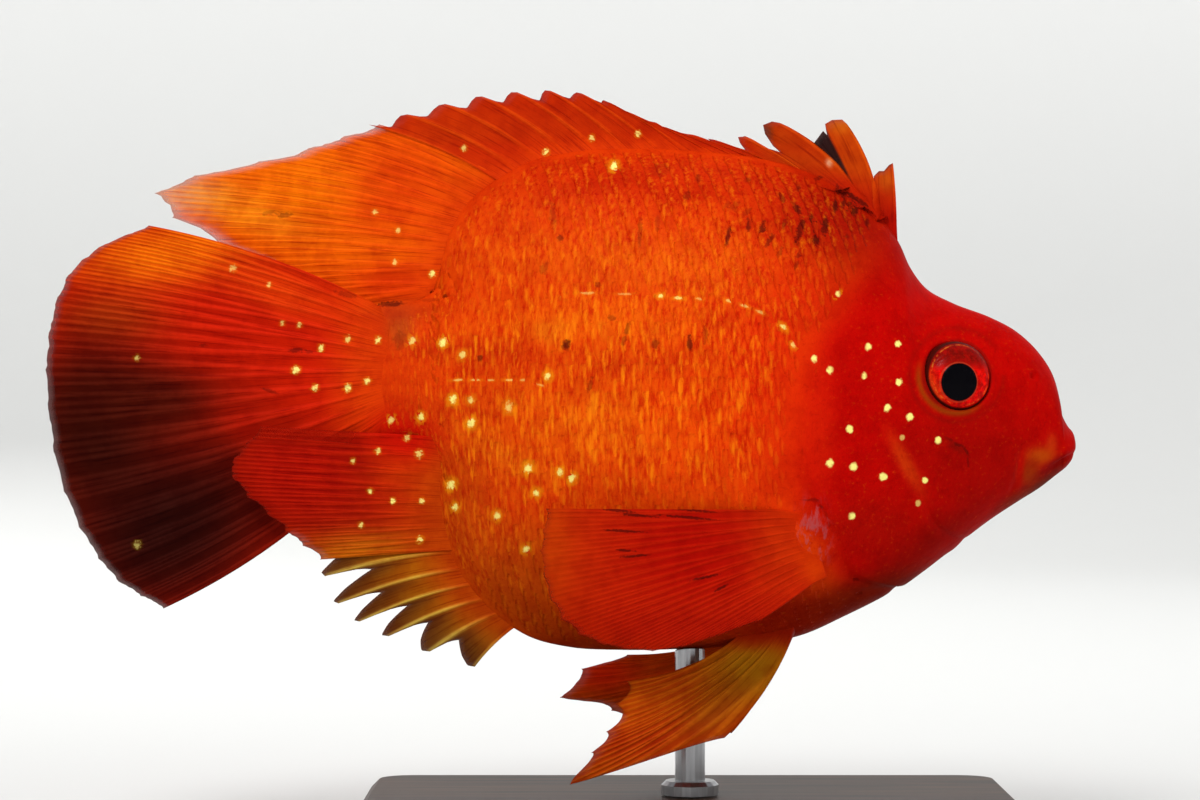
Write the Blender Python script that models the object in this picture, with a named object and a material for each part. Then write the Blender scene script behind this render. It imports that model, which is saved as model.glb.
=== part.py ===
# Blood parrot cichlid, life size, held level by a plain display stand.
# Head to +X, back to +Z, the fish's right side to -Y.
# The origin is the centre of the base's underside. Sizes here are millimetres.
import math

import bmesh
import bpy
import numpy as np

MM = 0.001
GAP = 0.3
FAR = 140.0
OUTLINE_STEPS = 900
CUT_STEPS = 24

# Side outline of the body without fins, (x, z), from the tail root to the lips.
BACK_LINE = [
    (-43.5, 80.0), (-39.4, 80.5), (-37.2, 82.2), (-36.3, 86.2), (-34.8, 90.9), (-32.4, 94.6),
    (-28.5, 97.9), (-23.4, 100.7), (-16.8, 102.2), (-7.3, 102.6), (1.5, 102.2), (10.2, 101.1),
    (16.5, 99.4), (21.9, 96.7), (25.7, 94.0), (28.6, 91.6), (30.5, 88.8), (32.2, 85.1),
    (34.5, 82.1), (38.3, 80.0), (43.8, 77.9), (47.4, 76.0), (50.7, 73.0), (52.9, 69.6),
    (54.0, 66.4), (54.7, 63.9), (55.6, 62.0), (56.2, 60.0),
]
BELLY_LINE = [
    (-43.5, 59.1), (-40.1, 58.5), (-38.4, 55.9), (-37.6, 51.2), (-36.5, 46.8), (-34.5, 42.1),
    (-31.4, 37.5), (-27.7, 33.9), (-23.4, 31.2), (-17.5, 29.7), (-10.2, 29.3), (0.0, 29.5),
    (8.8, 30.1), (16.1, 31.4), (22.9, 34.4), (29.2, 37.6), (34.2, 40.9), (39.4, 45.0),
    (43.9, 48.4), (48.2, 51.2), (51.2, 53.1), (53.4, 54.9), (55.0, 56.7), (56.0, 58.6),
    (56.2, 60.0),
]
# Half the thickness of the body along it, (x, half thickness).
HALF_THICKNESS = [
    (-43.5, 2.6), (-40.0, 3.6), (-36.0, 5.0), (-30.0, 7.6), (-20.0, 11.4), (-8.0, 14.6),
    (4.0, 16.4), (12.0, 17.0), (20.0, 16.6), (28.0, 15.2), (36.0, 13.3), (42.0, 11.4),
    (47.0, 9.3), (51.0, 7.1), (53.6, 5.3), (55.2, 3.6), (55.9, 2.1), (56.2, 0.0),
]
WIDEST_HEIGHT = 0.47
BACK_KEEL = 1.22
BELLY_KEEL = 0.96
BODY_STATIONS = 44
BODY_SIDES = 32
# Stations draw together where the outline is steep, up to a limit, and over the snout's last part.
STEEP_SHARE = 0.3
STEEP_LIMIT = 60.0
SNOUT_SHARE = 1.5
SNOUT_PLACE = 56.0
SNOUT_LENGTH = 3.0
TIP_LENGTH = 0.08
STATION_SAMPLES = 2000
# The largest share of its own size that a thinner body loses.
THINNEST = 0.6

# Cut lines across the body, (x, z), from above it to below it.
GILL_LINE = [
    (30.2, 99.0), (30.0, 90.2), (27.6, 85.6), (23.6, 80.2), (20.4, 74.6), (18.0, 66.6),
    (17.2, 57.8), (18.4, 51.6), (21.4, 47.0), (22.9, 42.4), (25.1, 38.0), (27.7, 26.0),
]
JAW_LINE = [
    (62.0, 63.0), (54.4, 62.4), (52.0, 61.1), (50.4, 58.9), (48.9, 57.0), (47.9, 54.0),
    (45.8, 50.5), (42.5, 40.0),
]
MOUTH_LINE = [(62.0, 58.6), (56.1, 58.2), (53.7, 57.5), (51.1, 56.7), (44.0, 55.0)]
MOUTH_STEPS = 10
TAIL_LINE = [(-36.4, 96.0), (-36.9, 82.0), (-36.0, 74.6), (-36.0, 65.8), (-36.9, 56.0), (-36.0, 30.0)]

# Gill cover, a plate let into the side of the head and open to the trunk behind it.
COVER_OUTLINE = [
    (22.0, 79.3), (27.6, 75.2), (29.6, 68.7), (30.4, 60.4), (31.7, 56.0), (33.8, 51.9),
    (35.8, 48.0), (36.6, 45.4), (34.4, 42.6), (30.3, 40.8), (25.6, 40.2), (12.0, 39.0),
    (8.0, 58.5), (12.0, 78.0),
]
COVER_STEPS = 40
COVER_PROUD = 0.35
COVER_DEPTH = 1.7
MIDDLE_CLEARANCE = 0.5

EYE_CENTRE = (37.7, 10.6, 69.1)
EYE_RADIUS = 5.1
EYE_HALF_DEPTH = 3.1
EYE_TURN = math.radians(17)
EYE_LIFT = math.radians(9)
NOSTRIL = (49.4, 6.9, 69.3)
NOSTRIL_RADIUS = 0.7
NOSTRIL_SEGMENTS = 10
NOSTRIL_RINGS = 6

LIP_RADIUS = 0.95
LIP_CORNER = (50.9, 56.7)
LIP_FRONT = (55.3, 58.2)
LIP_HALF_GAPE = 6.0
LIP_LIFT = 1.0
LIP_CORNER_SHARE = 0.35
LIP_CORNER_LIFT = 0.4
LIP_STEPS = 15
LIP_SIDES = 8

# Fins: root and tip of guide rays, (x, y, z), from the front or the top ray to the last. Guide rays
# are spread evenly over a fin's rays unless places says which rays they are. A ray is bowed by a
# share of its length, given for the first and the last ray, and rise is how much of its way
# across the fish it has gone by half of its length. Notches are shares of a ray's length, by ray.
# A fin's membrane is as thin as MEMBRANE; its rays taper between two widths.
MEMBRANE = 0.52
SPINE_WIDTHS = (2.0, 0.9)
RAY_WIDTHS = (1.8, 0.8)
TAIL_RAY_WIDTHS = (2.6, 0.8)
# Between a ray and the next: where the sheet is most notched, and where a lappet's flag ends.
VALLEY_PLACE = 0.62
FLAG_PLACE = 0.34
FLAG_NOTCH = 0.25
MEMBRANE_SHARE = 0.45

FINS = {
    "dorsal_fin_spiny": {
        "rays": 16, "rows": 5, "bow": (0.04, 0.10), "widths": SPINE_WIDTHS, "lappets": True,
        "roots": [
            (29.2, 0, 89.0), (25.8, 0, 91.8), (23.0, 0, 94.0), (20.0, 0, 96.0), (9.1, 0, 99.6),
            (-3.8, 0, 100.8), (-17.1, 0, 100.4), (-27.5, 0, 96.6),
        ],
        "tips": [
            (29.6, 0.6, 100.1), (22.0, 0.9, 106.7), (13.0, 0.8, 106.3), (8.0, 0.6, 104.3),
            (-4.6, 0.4, 105.8), (-15.8, 0.5, 110.6), (-30.4, 0.9, 110.2), (-47.0, 1.5, 106.1),
        ],
        "places": [0, 1, 2, 3, 6, 9, 12, 15],
        "notches": [(0, 0.8), (1, 0.72), (2, 0.45), (3, 0.25), (5, 0.2), (9, 0.16), (12, 0.14), (15, 0.1)],
    },
    "dorsal_fin_soft": {
        "rays": 11, "rows": 6, "bow": (0.10, 0.0), "widths": RAY_WIDTHS,
        "roots": [
            (-27.7, 0, 96.1), (-31.0, 0, 92.9), (-33.4, 0, 89.9), (-34.6, 0, 86.4), (-34.9, 0, 82.6),
        ],
        "tips": [
            (-47.3, 1.6, 105.6), (-59.3, 2.4, 101.8), (-76.6, 3.4, 95.6), (-64.5, 3.0, 87.6),
            (-45.5, 1.6, 79.9),
        ],
        "notches": [(0, 0.03), (10, 0.03)],
    },
    "anal_fin_spiny": {
        "rays": 7, "rows": 5, "bow": (0.06, 0.0), "widths": SPINE_WIDTHS, "lappets": True,
        "roots": [(-23.6, 0, 32.6), (-27.4, 0, 36.0), (-31.2, 0, 40.2), (-34.0, 0, 44.0)],
        "tips": [(-31.4, -0.6, 26.9), (-43.9, -1.2, 31.4), (-51.2, -1.8, 36.2), (-54.2, -2.2, 43.2)],
        "notches": [(0, 0.4), (6, 0.3)],
    },
    "anal_fin_soft": {
        "rays": 9, "rows": 6, "bow": (0.0, 0.0), "widths": RAY_WIDTHS, "rise": 0.85,
        "roots": [(-34.3, 0, 44.6), (-35.6, -0.3, 48.6), (-36.2, -0.7, 52.8), (-36.8, -1.2, 57.0)],
        "tips": [(-54.5, -2.4, 43.8), (-60.6, -3.8, 48.6), (-66.6, -4.6, 55.6), (-62.6, -4.8, 60.4)],
        "notches": [(0, 0.05), (8, 0.02)],
    },
    "caudal_fin": {
        "rays": 16, "rows": 7, "bow": (0.04, -0.11), "widths": TAIL_RAY_WIDTHS, "rise": 0.7,
        "roots": [
            (-43.8, 0, 78.7), (-43.8, 0, 74.2), (-43.8, 0, 69.5), (-43.8, 0, 64.8), (-43.8, 0, 60.4),
        ],
        "tips": [
            (-78.8, -1.8, 91.2), (-87.3, -1.6, 87.3), (-92.6, -0.8, 80.3), (-94.2, 0.4, 67.4),
            (-91.8, 1.8, 52.4), (-85.4, 2.8, 40.6), (-77.4, 3.0, 35.1),
        ],
        "notches": [(0, 0.01), (15, 0.01)],
    },
    "pectoral_fin_right": {
        "rays": 13, "rows": 6, "bow": (0.0, 0.0), "widths": RAY_WIDTHS, "rise": 0.8,
        "roots": [(16.4, -14.7, 50.2), (17.5, -13.2, 45.2), (18.7, -11.2, 40.6)],
        "tips": [
            (-20.9, -20.2, 50.6), (-21.6, -19.8, 43.4), (-19.2, -18.8, 35.4), (-12.6, -17.9, 30.8),
            (-3.2, -17.0, 29.9), (9.6, -15.4, 34.6),
        ],
        "notches": [(0, 0.02), (12, 0.02)],
    },
    "pelvic_fin_right": {
        "rays": 6, "rows": 6, "bow": (-0.12, -0.12), "widths": RAY_WIDTHS, "rise": 0.7,
        "roots": [(15.2, -4.6, 32.8), (11.6, -4.2, 31.9), (7.8, -3.8, 31.7)],
        "tips": [
            (4.7, -8.6, 17.3), (-17.6, -11.6, 10.9), (-14.6, -11.4, 15.4), (-12.3, -10.8, 18.4),
            (-11.0, -10.2, 22.2), (-9.4, -8.6, 25.4),
        ],
        "notches": [(0, 0.1), (5, 0.1)],
    },
}


def mirrored(points):
    return [(x, -y, z) for x, y, z in points]


# The left pectoral fin mirrors the right one; the left pelvic fin is held a little further forward.
FINS["pectoral_fin_left"] = {
    **FINS["pectoral_fin_right"],
    "roots": mirrored(FINS["pectoral_fin_right"]["roots"]),
    "tips": mirrored(FINS["pectoral_fin_right"]["tips"]),
}
FINS["pelvic_fin_left"] = {
    **FINS["pelvic_fin_right"],
    "roots": mirrored(FINS["pelvic_fin_right"]["roots"]),
    "tips": [
        (6.4, 9.4, 16.2), (-7.3, 12.6, 12.4), (-16.8, 13.4, 16.9), (-19.4, 13.2, 21.2),
        (-16.0, 12.0, 25.6), (-9.2, 9.6, 27.9),
    ],
}

BASE_LENGTH = 96.0
BASE_WIDTH = 58.0
BASE_HEIGHT = 8.0
BASE_CORNER = 6.0
BASE_EDGE = 1.2
ROD_RADIUS = 2.2
ROD_COLLAR_RADIUS = 4.2
ROD_COLLAR_HEIGHT = 2.0
ROD_COLLAR_EDGE = 0.6
ROD_TOP = 45.0
ROD_SIDES = 20
CORNER_STEPS = 6

SHARP_ANGLE = math.radians(40)

# Base colour, roughness and metallic value of each material.
MATERIALS = {
    "head_skin": ((0.60, 0.02, 0.01), 0.35, 0.0),
    "flank_skin": ((0.75, 0.16, 0.02), 0.35, 0.0),
    "spiny_fin": ((0.75, 0.15, 0.02), 0.4, 0.0),
    "soft_fin": ((0.80, 0.25, 0.02), 0.4, 0.0),
    "tail_fin": ((0.50, 0.05, 0.01), 0.4, 0.0),
    "paired_fin": ((0.55, 0.03, 0.01), 0.4, 0.0),
    "eye": ((0.20, 0.01, 0.01), 0.1, 0.0),
    "stand_wood": ((0.06, 0.04, 0.03), 0.4, 0.0),
    "stand_steel": ((0.55, 0.55, 0.56), 0.3, 1.0),
}

# The material of each piece.
LOOKS = {
    "head": "head_skin", "upper_jaw": "head_skin", "lower_jaw": "head_skin",
    "gill_cover_right": "head_skin", "gill_cover_left": "head_skin",
    "trunk": "flank_skin", "caudal_peduncle": "flank_skin",
    "eye_right": "eye", "eye_left": "eye",
    "dorsal_fin_spiny": "spiny_fin", "anal_fin_spiny": "spiny_fin",
    "dorsal_fin_soft": "soft_fin", "anal_fin_soft": "soft_fin", "caudal_fin": "tail_fin",
    "pectoral_fin_right": "paired_fin", "pectoral_fin_left": "paired_fin",
    "pelvic_fin_right": "paired_fin", "pelvic_fin_left": "paired_fin",
    "stand_base": "stand_wood", "stand_rod": "stand_steel",
}


def spline(knots, values, at):
    """Cubic curve through the values at the knots, read at each place in at."""
    knots = np.asarray(knots, float)
    values = np.asarray(values, float)
    at = np.asarray(at, float)
    slopes = np.gradient(values, knots, axis=0)
    left = np.clip(np.searchsorted(knots, at, side="right") - 1, 0, len(knots) - 2)
    step = (knots[left + 1] - knots[left])[:, None]
    t = (at - knots[left])[:, None] / step
    start = (1 + 2 * t) * (1 - t) ** 2 * values[left] + t * (1 - t) ** 2 * step * slopes[left]
    end = t * t * (3 - 2 * t) * values[left + 1] - t * t * (1 - t) * step * slopes[left + 1]
    return start + end


def smooth_line(points, count):
    """The points joined by a smooth curve of count points, evenly spread along it."""
    points = np.asarray(points, float)
    lengths = np.linalg.norm(np.diff(points, axis=0), axis=1)
    along = np.concatenate([[0], np.cumsum(lengths)])
    return spline(along, points, np.linspace(0, along[-1], count))


def shifted(line, distance):
    """A line moved sideways, to its left when walked from first point to last."""
    line = np.asarray(line, float)
    steps = np.gradient(line, axis=0)
    normals = np.stack([-steps[:, 1], steps[:, 0]], axis=1)
    return line + distance * normals / np.linalg.norm(normals, axis=1)[:, None]


def profile_height(line, x):
    dense = smooth_line(line, OUTLINE_STEPS)
    return np.interp(x, dense[:, 0], dense[:, 1])


def make_object(name, points, faces):
    mesh = bpy.data.meshes.new(name)
    mesh.from_pydata((np.asarray(points, float) * MM).tolist(), [], faces)
    shape = bmesh.new()
    shape.from_mesh(mesh)
    bmesh.ops.recalc_face_normals(shape, faces=shape.faces)
    shape.to_mesh(mesh)
    shape.free()
    made = bpy.data.objects.new(name, mesh)
    bpy.context.scene.collection.objects.link(made)
    return made


def remove_object(piece):
    mesh = piece.data
    bpy.data.objects.remove(piece)
    if mesh.users == 0:
        bpy.data.meshes.remove(mesh)


def combine(target, operation, cutter, solver="EXACT"):
    """Applies one Boolean to the target; the cutter stays for further use."""
    modifier = target.modifiers.new("Cut", "BOOLEAN")
    modifier.operation = operation
    modifier.solver = solver
    modifier.object = cutter
    depsgraph = bpy.context.evaluated_depsgraph_get()
    mesh = bpy.data.meshes.new_from_object(target.evaluated_get(depsgraph))
    target.modifiers.clear()
    target.data = mesh


def copy_of(source, name):
    made = bpy.data.objects.new(name, source.data.copy())
    bpy.context.scene.collection.objects.link(made)
    return made


def keep_largest(piece):
    """Drops every loose scrap or sealed hollow that a cut has left."""
    shape = bmesh.new()
    shape.from_mesh(piece.data)
    waiting = set(shape.verts)
    shells = []
    while waiting:
        start = waiting.pop()
        shell = {start}
        front = [start]
        while front:
            vertex = front.pop()
            for edge in vertex.link_edges:
                other = edge.other_vert(vertex)
                if other in waiting:
                    waiting.discard(other)
                    shell.add(other)
                    front.append(other)
        shells.append(shell)
    shells.sort(key=len, reverse=True)
    for shell in shells[1:]:
        bmesh.ops.delete(shape, geom=list(shell), context="VERTS")
    shape.to_mesh(piece.data)
    shape.free()


def finish(piece, material_name):
    """Gives the piece its only material and smooth shading."""
    keep_largest(piece)
    colour, roughness, metallic = MATERIALS[material_name]
    material = bpy.data.materials.get(material_name)
    if material is None:
        material = bpy.data.materials.new(material_name)
        material.use_nodes = True
        surface = material.node_tree.nodes["Principled BSDF"]
        surface.inputs["Base Color"].default_value = (*colour, 1.0)
        surface.inputs["Roughness"].default_value = roughness
        surface.inputs["Metallic"].default_value = metallic
    piece.data.materials.clear()
    piece.data.materials.append(material)
    piece.data.shade_smooth()
    piece.data.set_sharp_from_angle(angle=SHARP_ANGLE)


def body_stations():
    """Places along the body, closer where its outline is steep."""
    x = np.linspace(BACK_LINE[0][0], BACK_LINE[-1][0] - TIP_LENGTH, STATION_SAMPLES)
    back_slope = np.gradient(profile_height(BACK_LINE, x), x)
    belly_slope = np.gradient(profile_height(BELLY_LINE, x), x)
    steep = STEEP_SHARE * (back_slope ** 2 + belly_slope ** 2)
    weight = np.sqrt(1 + np.minimum(steep, STEEP_LIMIT))
    weight = weight + SNOUT_SHARE * np.exp(-((x - SNOUT_PLACE) / SNOUT_LENGTH) ** 2)
    travelled = np.cumsum(weight)
    return np.interp(np.linspace(travelled[0], travelled[-1], BODY_STATIONS), travelled, x)


def make_body(name, thinner=0.0, grow=0.0):
    """The whole body as rings of superellipse sections.

    A body made thinner is drawn in towards its middle; grow moves its surface outwards.
    """
    x = body_stations()
    back = profile_height(BACK_LINE, x)
    belly = profile_height(BELLY_LINE, x)
    widths = np.asarray(HALF_THICKNESS)
    half = spline(widths[:, 0], widths[:, 1:], x)[:, 0]
    middle = belly + WIDEST_HEIGHT * (back - belly)
    shrink = np.minimum(thinner, THINNEST * half)
    half = half - shrink
    back = back - np.minimum(shrink, THINNEST * (back - middle))
    belly = belly + np.minimum(shrink, THINNEST * (middle - belly))
    angle = np.arange(BODY_SIDES) * 2 * math.pi / BODY_SIDES
    side = np.cos(angle)
    rise = np.sin(angle)
    keel = np.where(rise > 0, BACK_KEEL, BELLY_KEEL)
    out = np.sign(side) * np.abs(side) ** keel
    height = np.where(rise > 0, (back - middle)[:, None], (middle - belly)[:, None])
    points = np.stack([
        np.repeat(x[:, None], BODY_SIDES, axis=1),
        half[:, None] * out,
        middle[:, None] + height * rise,
    ], axis=2).reshape(-1, 3)
    tip = len(points)
    points = np.vstack([points, [(BACK_LINE[-1][0], 0.0, BACK_LINE[-1][1])]])
    faces = [list(range(BODY_SIDES))]
    for ring in range(BODY_STATIONS - 1):
        for place in range(BODY_SIDES):
            first = ring * BODY_SIDES + place
            second = ring * BODY_SIDES + (place + 1) % BODY_SIDES
            faces.append([first, second, second + BODY_SIDES, first + BODY_SIDES])
    last = (BODY_STATIONS - 1) * BODY_SIDES
    for place in range(BODY_SIDES):
        faces.append([last + place, last + (place + 1) % BODY_SIDES, tip])
    body = make_object(name, points, faces)
    if grow:
        normals = np.array([vertex.normal for vertex in body.data.vertices])
        places = np.array([vertex.co for vertex in body.data.vertices]) + normals * grow * MM
        body.data.vertices.foreach_set("co", places.ravel())
        body.data.update()
    return body


def prism(name, outline):
    """A closed outline in the XZ plane drawn out along Y, right across the fish."""
    count = len(outline)
    points = [(x, -FAR, z) for x, z in outline] + [(x, FAR, z) for x, z in outline]
    faces = [list(range(count)), list(range(2 * count - 1, count - 1, -1))]
    for place in range(count):
        following = (place + 1) % count
        faces.append([place, following, following + count, place + count])
    return make_object(name, points, faces)


def region(name, line, side, distance=0.0):
    """All that lies on one side of a cut line that runs downwards: side is +1 ahead, -1 behind."""
    edge = shifted(smooth_line(line, CUT_STEPS), distance * side)
    above, below = (edge[0][0], FAR), (edge[-1][0], -FAR)
    corners = [(side * FAR, -FAR), (side * FAR, FAR)]
    return prism(name, [above] + [tuple(point) for point in edge] + [below] + corners)


def mouth_region(name, side):
    """All that lies above (+1) or below (-1) the line of the mouth, half a gap away from it."""
    edge = shifted(smooth_line(MOUTH_LINE, MOUTH_STEPS), -side * GAP / 2)
    front, rear = edge[0][0] + 1, edge[-1][0] - 1
    return prism(name, [tuple(point) for point in edge] + [(rear, side * FAR), (front, side * FAR)])


def half_space(name, side):
    """A block over one side of the fish: -1 is its right side, +1 its left."""
    near, far = sorted((side * MIDDLE_CLEARANCE, side * FAR))
    corners = [(x, y, z) for x in (-FAR, FAR) for y in (near, far) for z in (-FAR, FAR)]
    faces = [[0, 1, 3, 2], [4, 6, 7, 5], [0, 4, 5, 1], [2, 3, 7, 6], [0, 2, 6, 4], [1, 5, 7, 3]]
    return make_object(name, corners, faces)


def ball(name, centre, radii, turn=0.0, lift=0.0, segments=20, rings=10):
    """An ellipsoid whose short axis is turned forward and lifted from the Y axis."""
    points = [(0, -1, 0)]
    for ring in range(1, rings):
        polar = math.pi * ring / rings
        for place in range(segments):
            angle = 2 * math.pi * place / segments
            points.append((math.sin(polar) * math.cos(angle), -math.cos(polar),
                           math.sin(polar) * math.sin(angle)))
    points.append((0, 1, 0))
    last = len(points) - 1
    faces = []
    for place in range(segments):
        following = (place + 1) % segments
        faces.append([0, 1 + place, 1 + following])
        for ring in range(rings - 2):
            low = 1 + ring * segments
            faces.append([low + place, low + segments + place, low + segments + following,
                          low + following])
        low = 1 + (rings - 2) * segments
        faces.append([low + place, last, low + following])
    local = np.array(points) * np.array(radii)
    cos_lift, sin_lift = math.cos(lift), math.sin(lift)
    lifted = local @ np.array([[1, 0, 0], [0, cos_lift, sin_lift], [0, -sin_lift, cos_lift]])
    cos_turn, sin_turn = math.cos(turn), math.sin(turn)
    turned = lifted @ np.array([[cos_turn, sin_turn, 0], [-sin_turn, cos_turn, 0], [0, 0, 1]])
    return make_object(name, turned + np.array(centre), faces)


def tube(name, path, radii, sides):
    """A closed tube along a path of points, with a radius at each."""
    path = np.asarray(path, float)
    ahead = np.gradient(path, axis=0)
    ahead /= np.linalg.norm(ahead, axis=1)[:, None]
    across = np.cross(ahead, (0, 0, 1))
    across /= np.linalg.norm(across, axis=1)[:, None]
    up = np.cross(across, ahead)
    angle = np.arange(sides) * 2 * math.pi / sides
    spread = across[:, None] * np.cos(angle)[None, :, None] + up[:, None] * np.sin(angle)[None, :, None]
    points = (path[:, None] + spread * np.asarray(radii)[:, None, None]).reshape(-1, 3)
    count = len(path)
    faces = [list(range(sides)), list(range(count * sides - 1, (count - 1) * sides - 1, -1))]
    for ring in range(count - 1):
        for place in range(sides):
            first = ring * sides + place
            second = ring * sides + (place + 1) % sides
            faces.append([first, second, second + sides, first + sides])
    return make_object(name, points, faces)


def make_lip(name, lift):
    """One lip, a roll round the front of the mouth from corner to corner."""
    angle = np.linspace(-math.pi / 2, math.pi / 2, LIP_STEPS)
    forward = np.cos(angle)
    x = LIP_CORNER[0] + (LIP_FRONT[0] - LIP_CORNER[0]) * forward
    y = LIP_HALF_GAPE * np.sin(angle)
    raised = lift * (LIP_CORNER_LIFT + (1 - LIP_CORNER_LIFT) * forward)
    z = LIP_CORNER[1] + (LIP_FRONT[1] - LIP_CORNER[1]) * forward + raised
    radii = LIP_RADIUS * (LIP_CORNER_SHARE + (1 - LIP_CORNER_SHARE) * forward)
    return tube(name, np.stack([x, y, z], axis=1), radii, LIP_SIDES)


def ray_fin(name, roots, tips, rays, rows, bow, widths, notches, places=None, lappets=False, rise=0.5):
    """A fin as one closed sheet whose rays are ridges raised in both of its faces.

    Between two rays the sheet is thinner and notched; with lappets a flag of it follows each spine.
    """
    root_knots = np.linspace(0, rays - 1, len(roots)) if places is None else np.array(places, float)
    tip_knots = np.linspace(0, rays - 1, len(tips)) if places is None else np.array(places, float)
    root_width, tip_width = widths
    column, reach, thick = [], [], []
    for ray in range(rays):
        notch = np.interp(ray, *np.transpose(notches))
        column.append(ray)
        reach.append(1.0)
        thick.append(1.0)
        if ray == rays - 1:
            break
        if lappets:
            column.append(ray + FLAG_PLACE)
            reach.append(1.0 - FLAG_NOTCH * notch)
            thick.append(MEMBRANE_SHARE)
        column.append(ray + VALLEY_PLACE)
        reach.append(1.0 - notch)
        thick.append(MEMBRANE_SHARE)
    column, reach, thick = np.array(column), np.array(reach), np.array(thick)
    root = spline(root_knots, roots, column)[:, None]
    tip = spline(tip_knots, tips, column)[:, None]
    chord = tip - root
    bows = np.interp(column, (0, rays - 1), bow)[:, None, None]
    bend = bows * np.stack([chord[..., 2], 0 * chord[..., 0], -chord[..., 0]], axis=2)
    control = root + 0.5 * chord + bend
    control[..., 1] = root[..., 1] + rise * chord[..., 1]
    t = (reach[:, None] * np.linspace(0, 1, rows + 1)[None, :])[..., None]
    sheet = (1 - t) ** 2 * root + 2 * t * (1 - t) * control + t * t * tip
    normal = np.cross(np.gradient(sheet, axis=0), np.gradient(sheet, axis=1))
    normal /= np.linalg.norm(normal, axis=2)[..., None]
    width = root_width + (tip_width - root_width) * t[..., 0]
    half = 0.5 * np.maximum(width * thick[:, None], MEMBRANE)[..., None]
    points = np.concatenate([(sheet + normal * half).reshape(-1, 3),
                             (sheet - normal * half).reshape(-1, 3)])
    columns, across = len(column), rows + 1
    back = columns * across
    faces = []
    for place in range(columns - 1):
        for row in range(rows):
            a = place * across + row
            b, c, d = a + across, a + across + 1, a + 1
            faces += [[a, b, c], [a, c, d], [back + a, back + c, back + b], [back + a, back + d, back + c]]
    rim = [place * across for place in range(columns)]
    rim += [(columns - 1) * across + row for row in range(1, across)]
    rim += [place * across + rows for place in range(columns - 2, -1, -1)]
    rim += list(range(rows - 1, 0, -1))
    for place, first in enumerate(rim):
        second = rim[(place + 1) % len(rim)]
        faces += [[first, second, back + second], [first, back + second, back + first]]
    return make_object(name, points, faces)


def make_head_and_trunk(body):
    """The body parted by thin cuts into head, jaws, trunk and tail root, with its gill covers."""
    lipped = copy_of(body, "lipped_body")
    for name, lift in (("upper_lip", LIP_LIFT), ("lower_lip", -LIP_LIFT)):
        lip = make_lip(name, lift)
        combine(lipped, "UNION", lip)
        remove_object(lip)
    cutters = {
        "ahead_of_gills": region("ahead_of_gills", GILL_LINE, 1),
        "behind_gills": region("behind_gills", GILL_LINE, -1, GAP),
        "behind_jaws": region("behind_jaws", JAW_LINE, -1),
        "jaws": region("jaws", JAW_LINE, 1, GAP),
        "above_mouth": mouth_region("above_mouth", 1),
        "below_mouth": mouth_region("below_mouth", -1),
        "ahead_of_tail": region("ahead_of_tail", TAIL_LINE, 1),
        "behind_trunk": region("behind_trunk", TAIL_LINE, -1, GAP),
    }
    pieces = {
        "head": (lipped, "ahead_of_gills", "behind_jaws"),
        "upper_jaw": (lipped, "jaws", "above_mouth"),
        "lower_jaw": (lipped, "jaws", "below_mouth"),
        "trunk": (body, "behind_gills", "ahead_of_tail"),
        "caudal_peduncle": (body, "behind_trunk"),
    }
    made = {}
    for name, (source, *names) in pieces.items():
        made[name] = copy_of(source, name)
        for cutter in names:
            combine(made[name], "INTERSECT", cutters[cutter])
    outline = smooth_line(COVER_OUTLINE + COVER_OUTLINE[:1], COVER_STEPS)[:-1]
    plate = prism("cover_plate", outline)
    recess = prism("cover_recess", shifted(outline, GAP))
    raised = make_body("raised_body", thinner=-COVER_PROUD)
    inner = make_body("cover_floor", thinner=COVER_DEPTH)
    deeper = make_body("recess_floor", thinner=COVER_DEPTH + GAP)
    combine(raised, "INTERSECT", plate)
    combine(raised, "INTERSECT", cutters["ahead_of_gills"])
    combine(raised, "DIFFERENCE", inner)
    combine(recess, "DIFFERENCE", deeper, "MANIFOLD")
    combine(made["head"], "DIFFERENCE", recess, "MANIFOLD")
    for name, side in (("gill_cover_right", -1), ("gill_cover_left", 1)):
        block = half_space("side_block", side)
        made[name] = copy_of(raised, name)
        combine(made[name], "INTERSECT", block)
        remove_object(block)
    for cutter in [*cutters.values(), plate, recess, raised, inner, deeper, lipped]:
        remove_object(cutter)
    return made


def make_eyes(head):
    """The eyes, and the sockets and nostrils cut for them in the head."""
    made = {}
    for name, side in (("eye_right", -1), ("eye_left", 1)):
        x, y, z = EYE_CENTRE
        centre = (x, side * y, z)
        radii = (EYE_RADIUS, EYE_HALF_DEPTH, EYE_RADIUS)
        turn, lift = -side * EYE_TURN, side * EYE_LIFT
        made[name] = ball(name, centre, radii, turn, lift)
        socket = ball("socket", centre, [radius + GAP for radius in radii], turn, lift)
        combine(head, "DIFFERENCE", socket)
        remove_object(socket)
        pit = ball("pit", (NOSTRIL[0], side * NOSTRIL[1], NOSTRIL[2]), (NOSTRIL_RADIUS,) * 3,
                   segments=NOSTRIL_SEGMENTS, rings=NOSTRIL_RINGS)
        combine(head, "DIFFERENCE", pit)
        remove_object(pit)
    return made


def make_fins(grown):
    """Every fin, its root trimmed to the body's surface."""
    made = {name: ray_fin(name, **fin) for name, fin in FINS.items()}
    for fin in made.values():
        combine(fin, "DIFFERENCE", grown)
    return made


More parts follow.
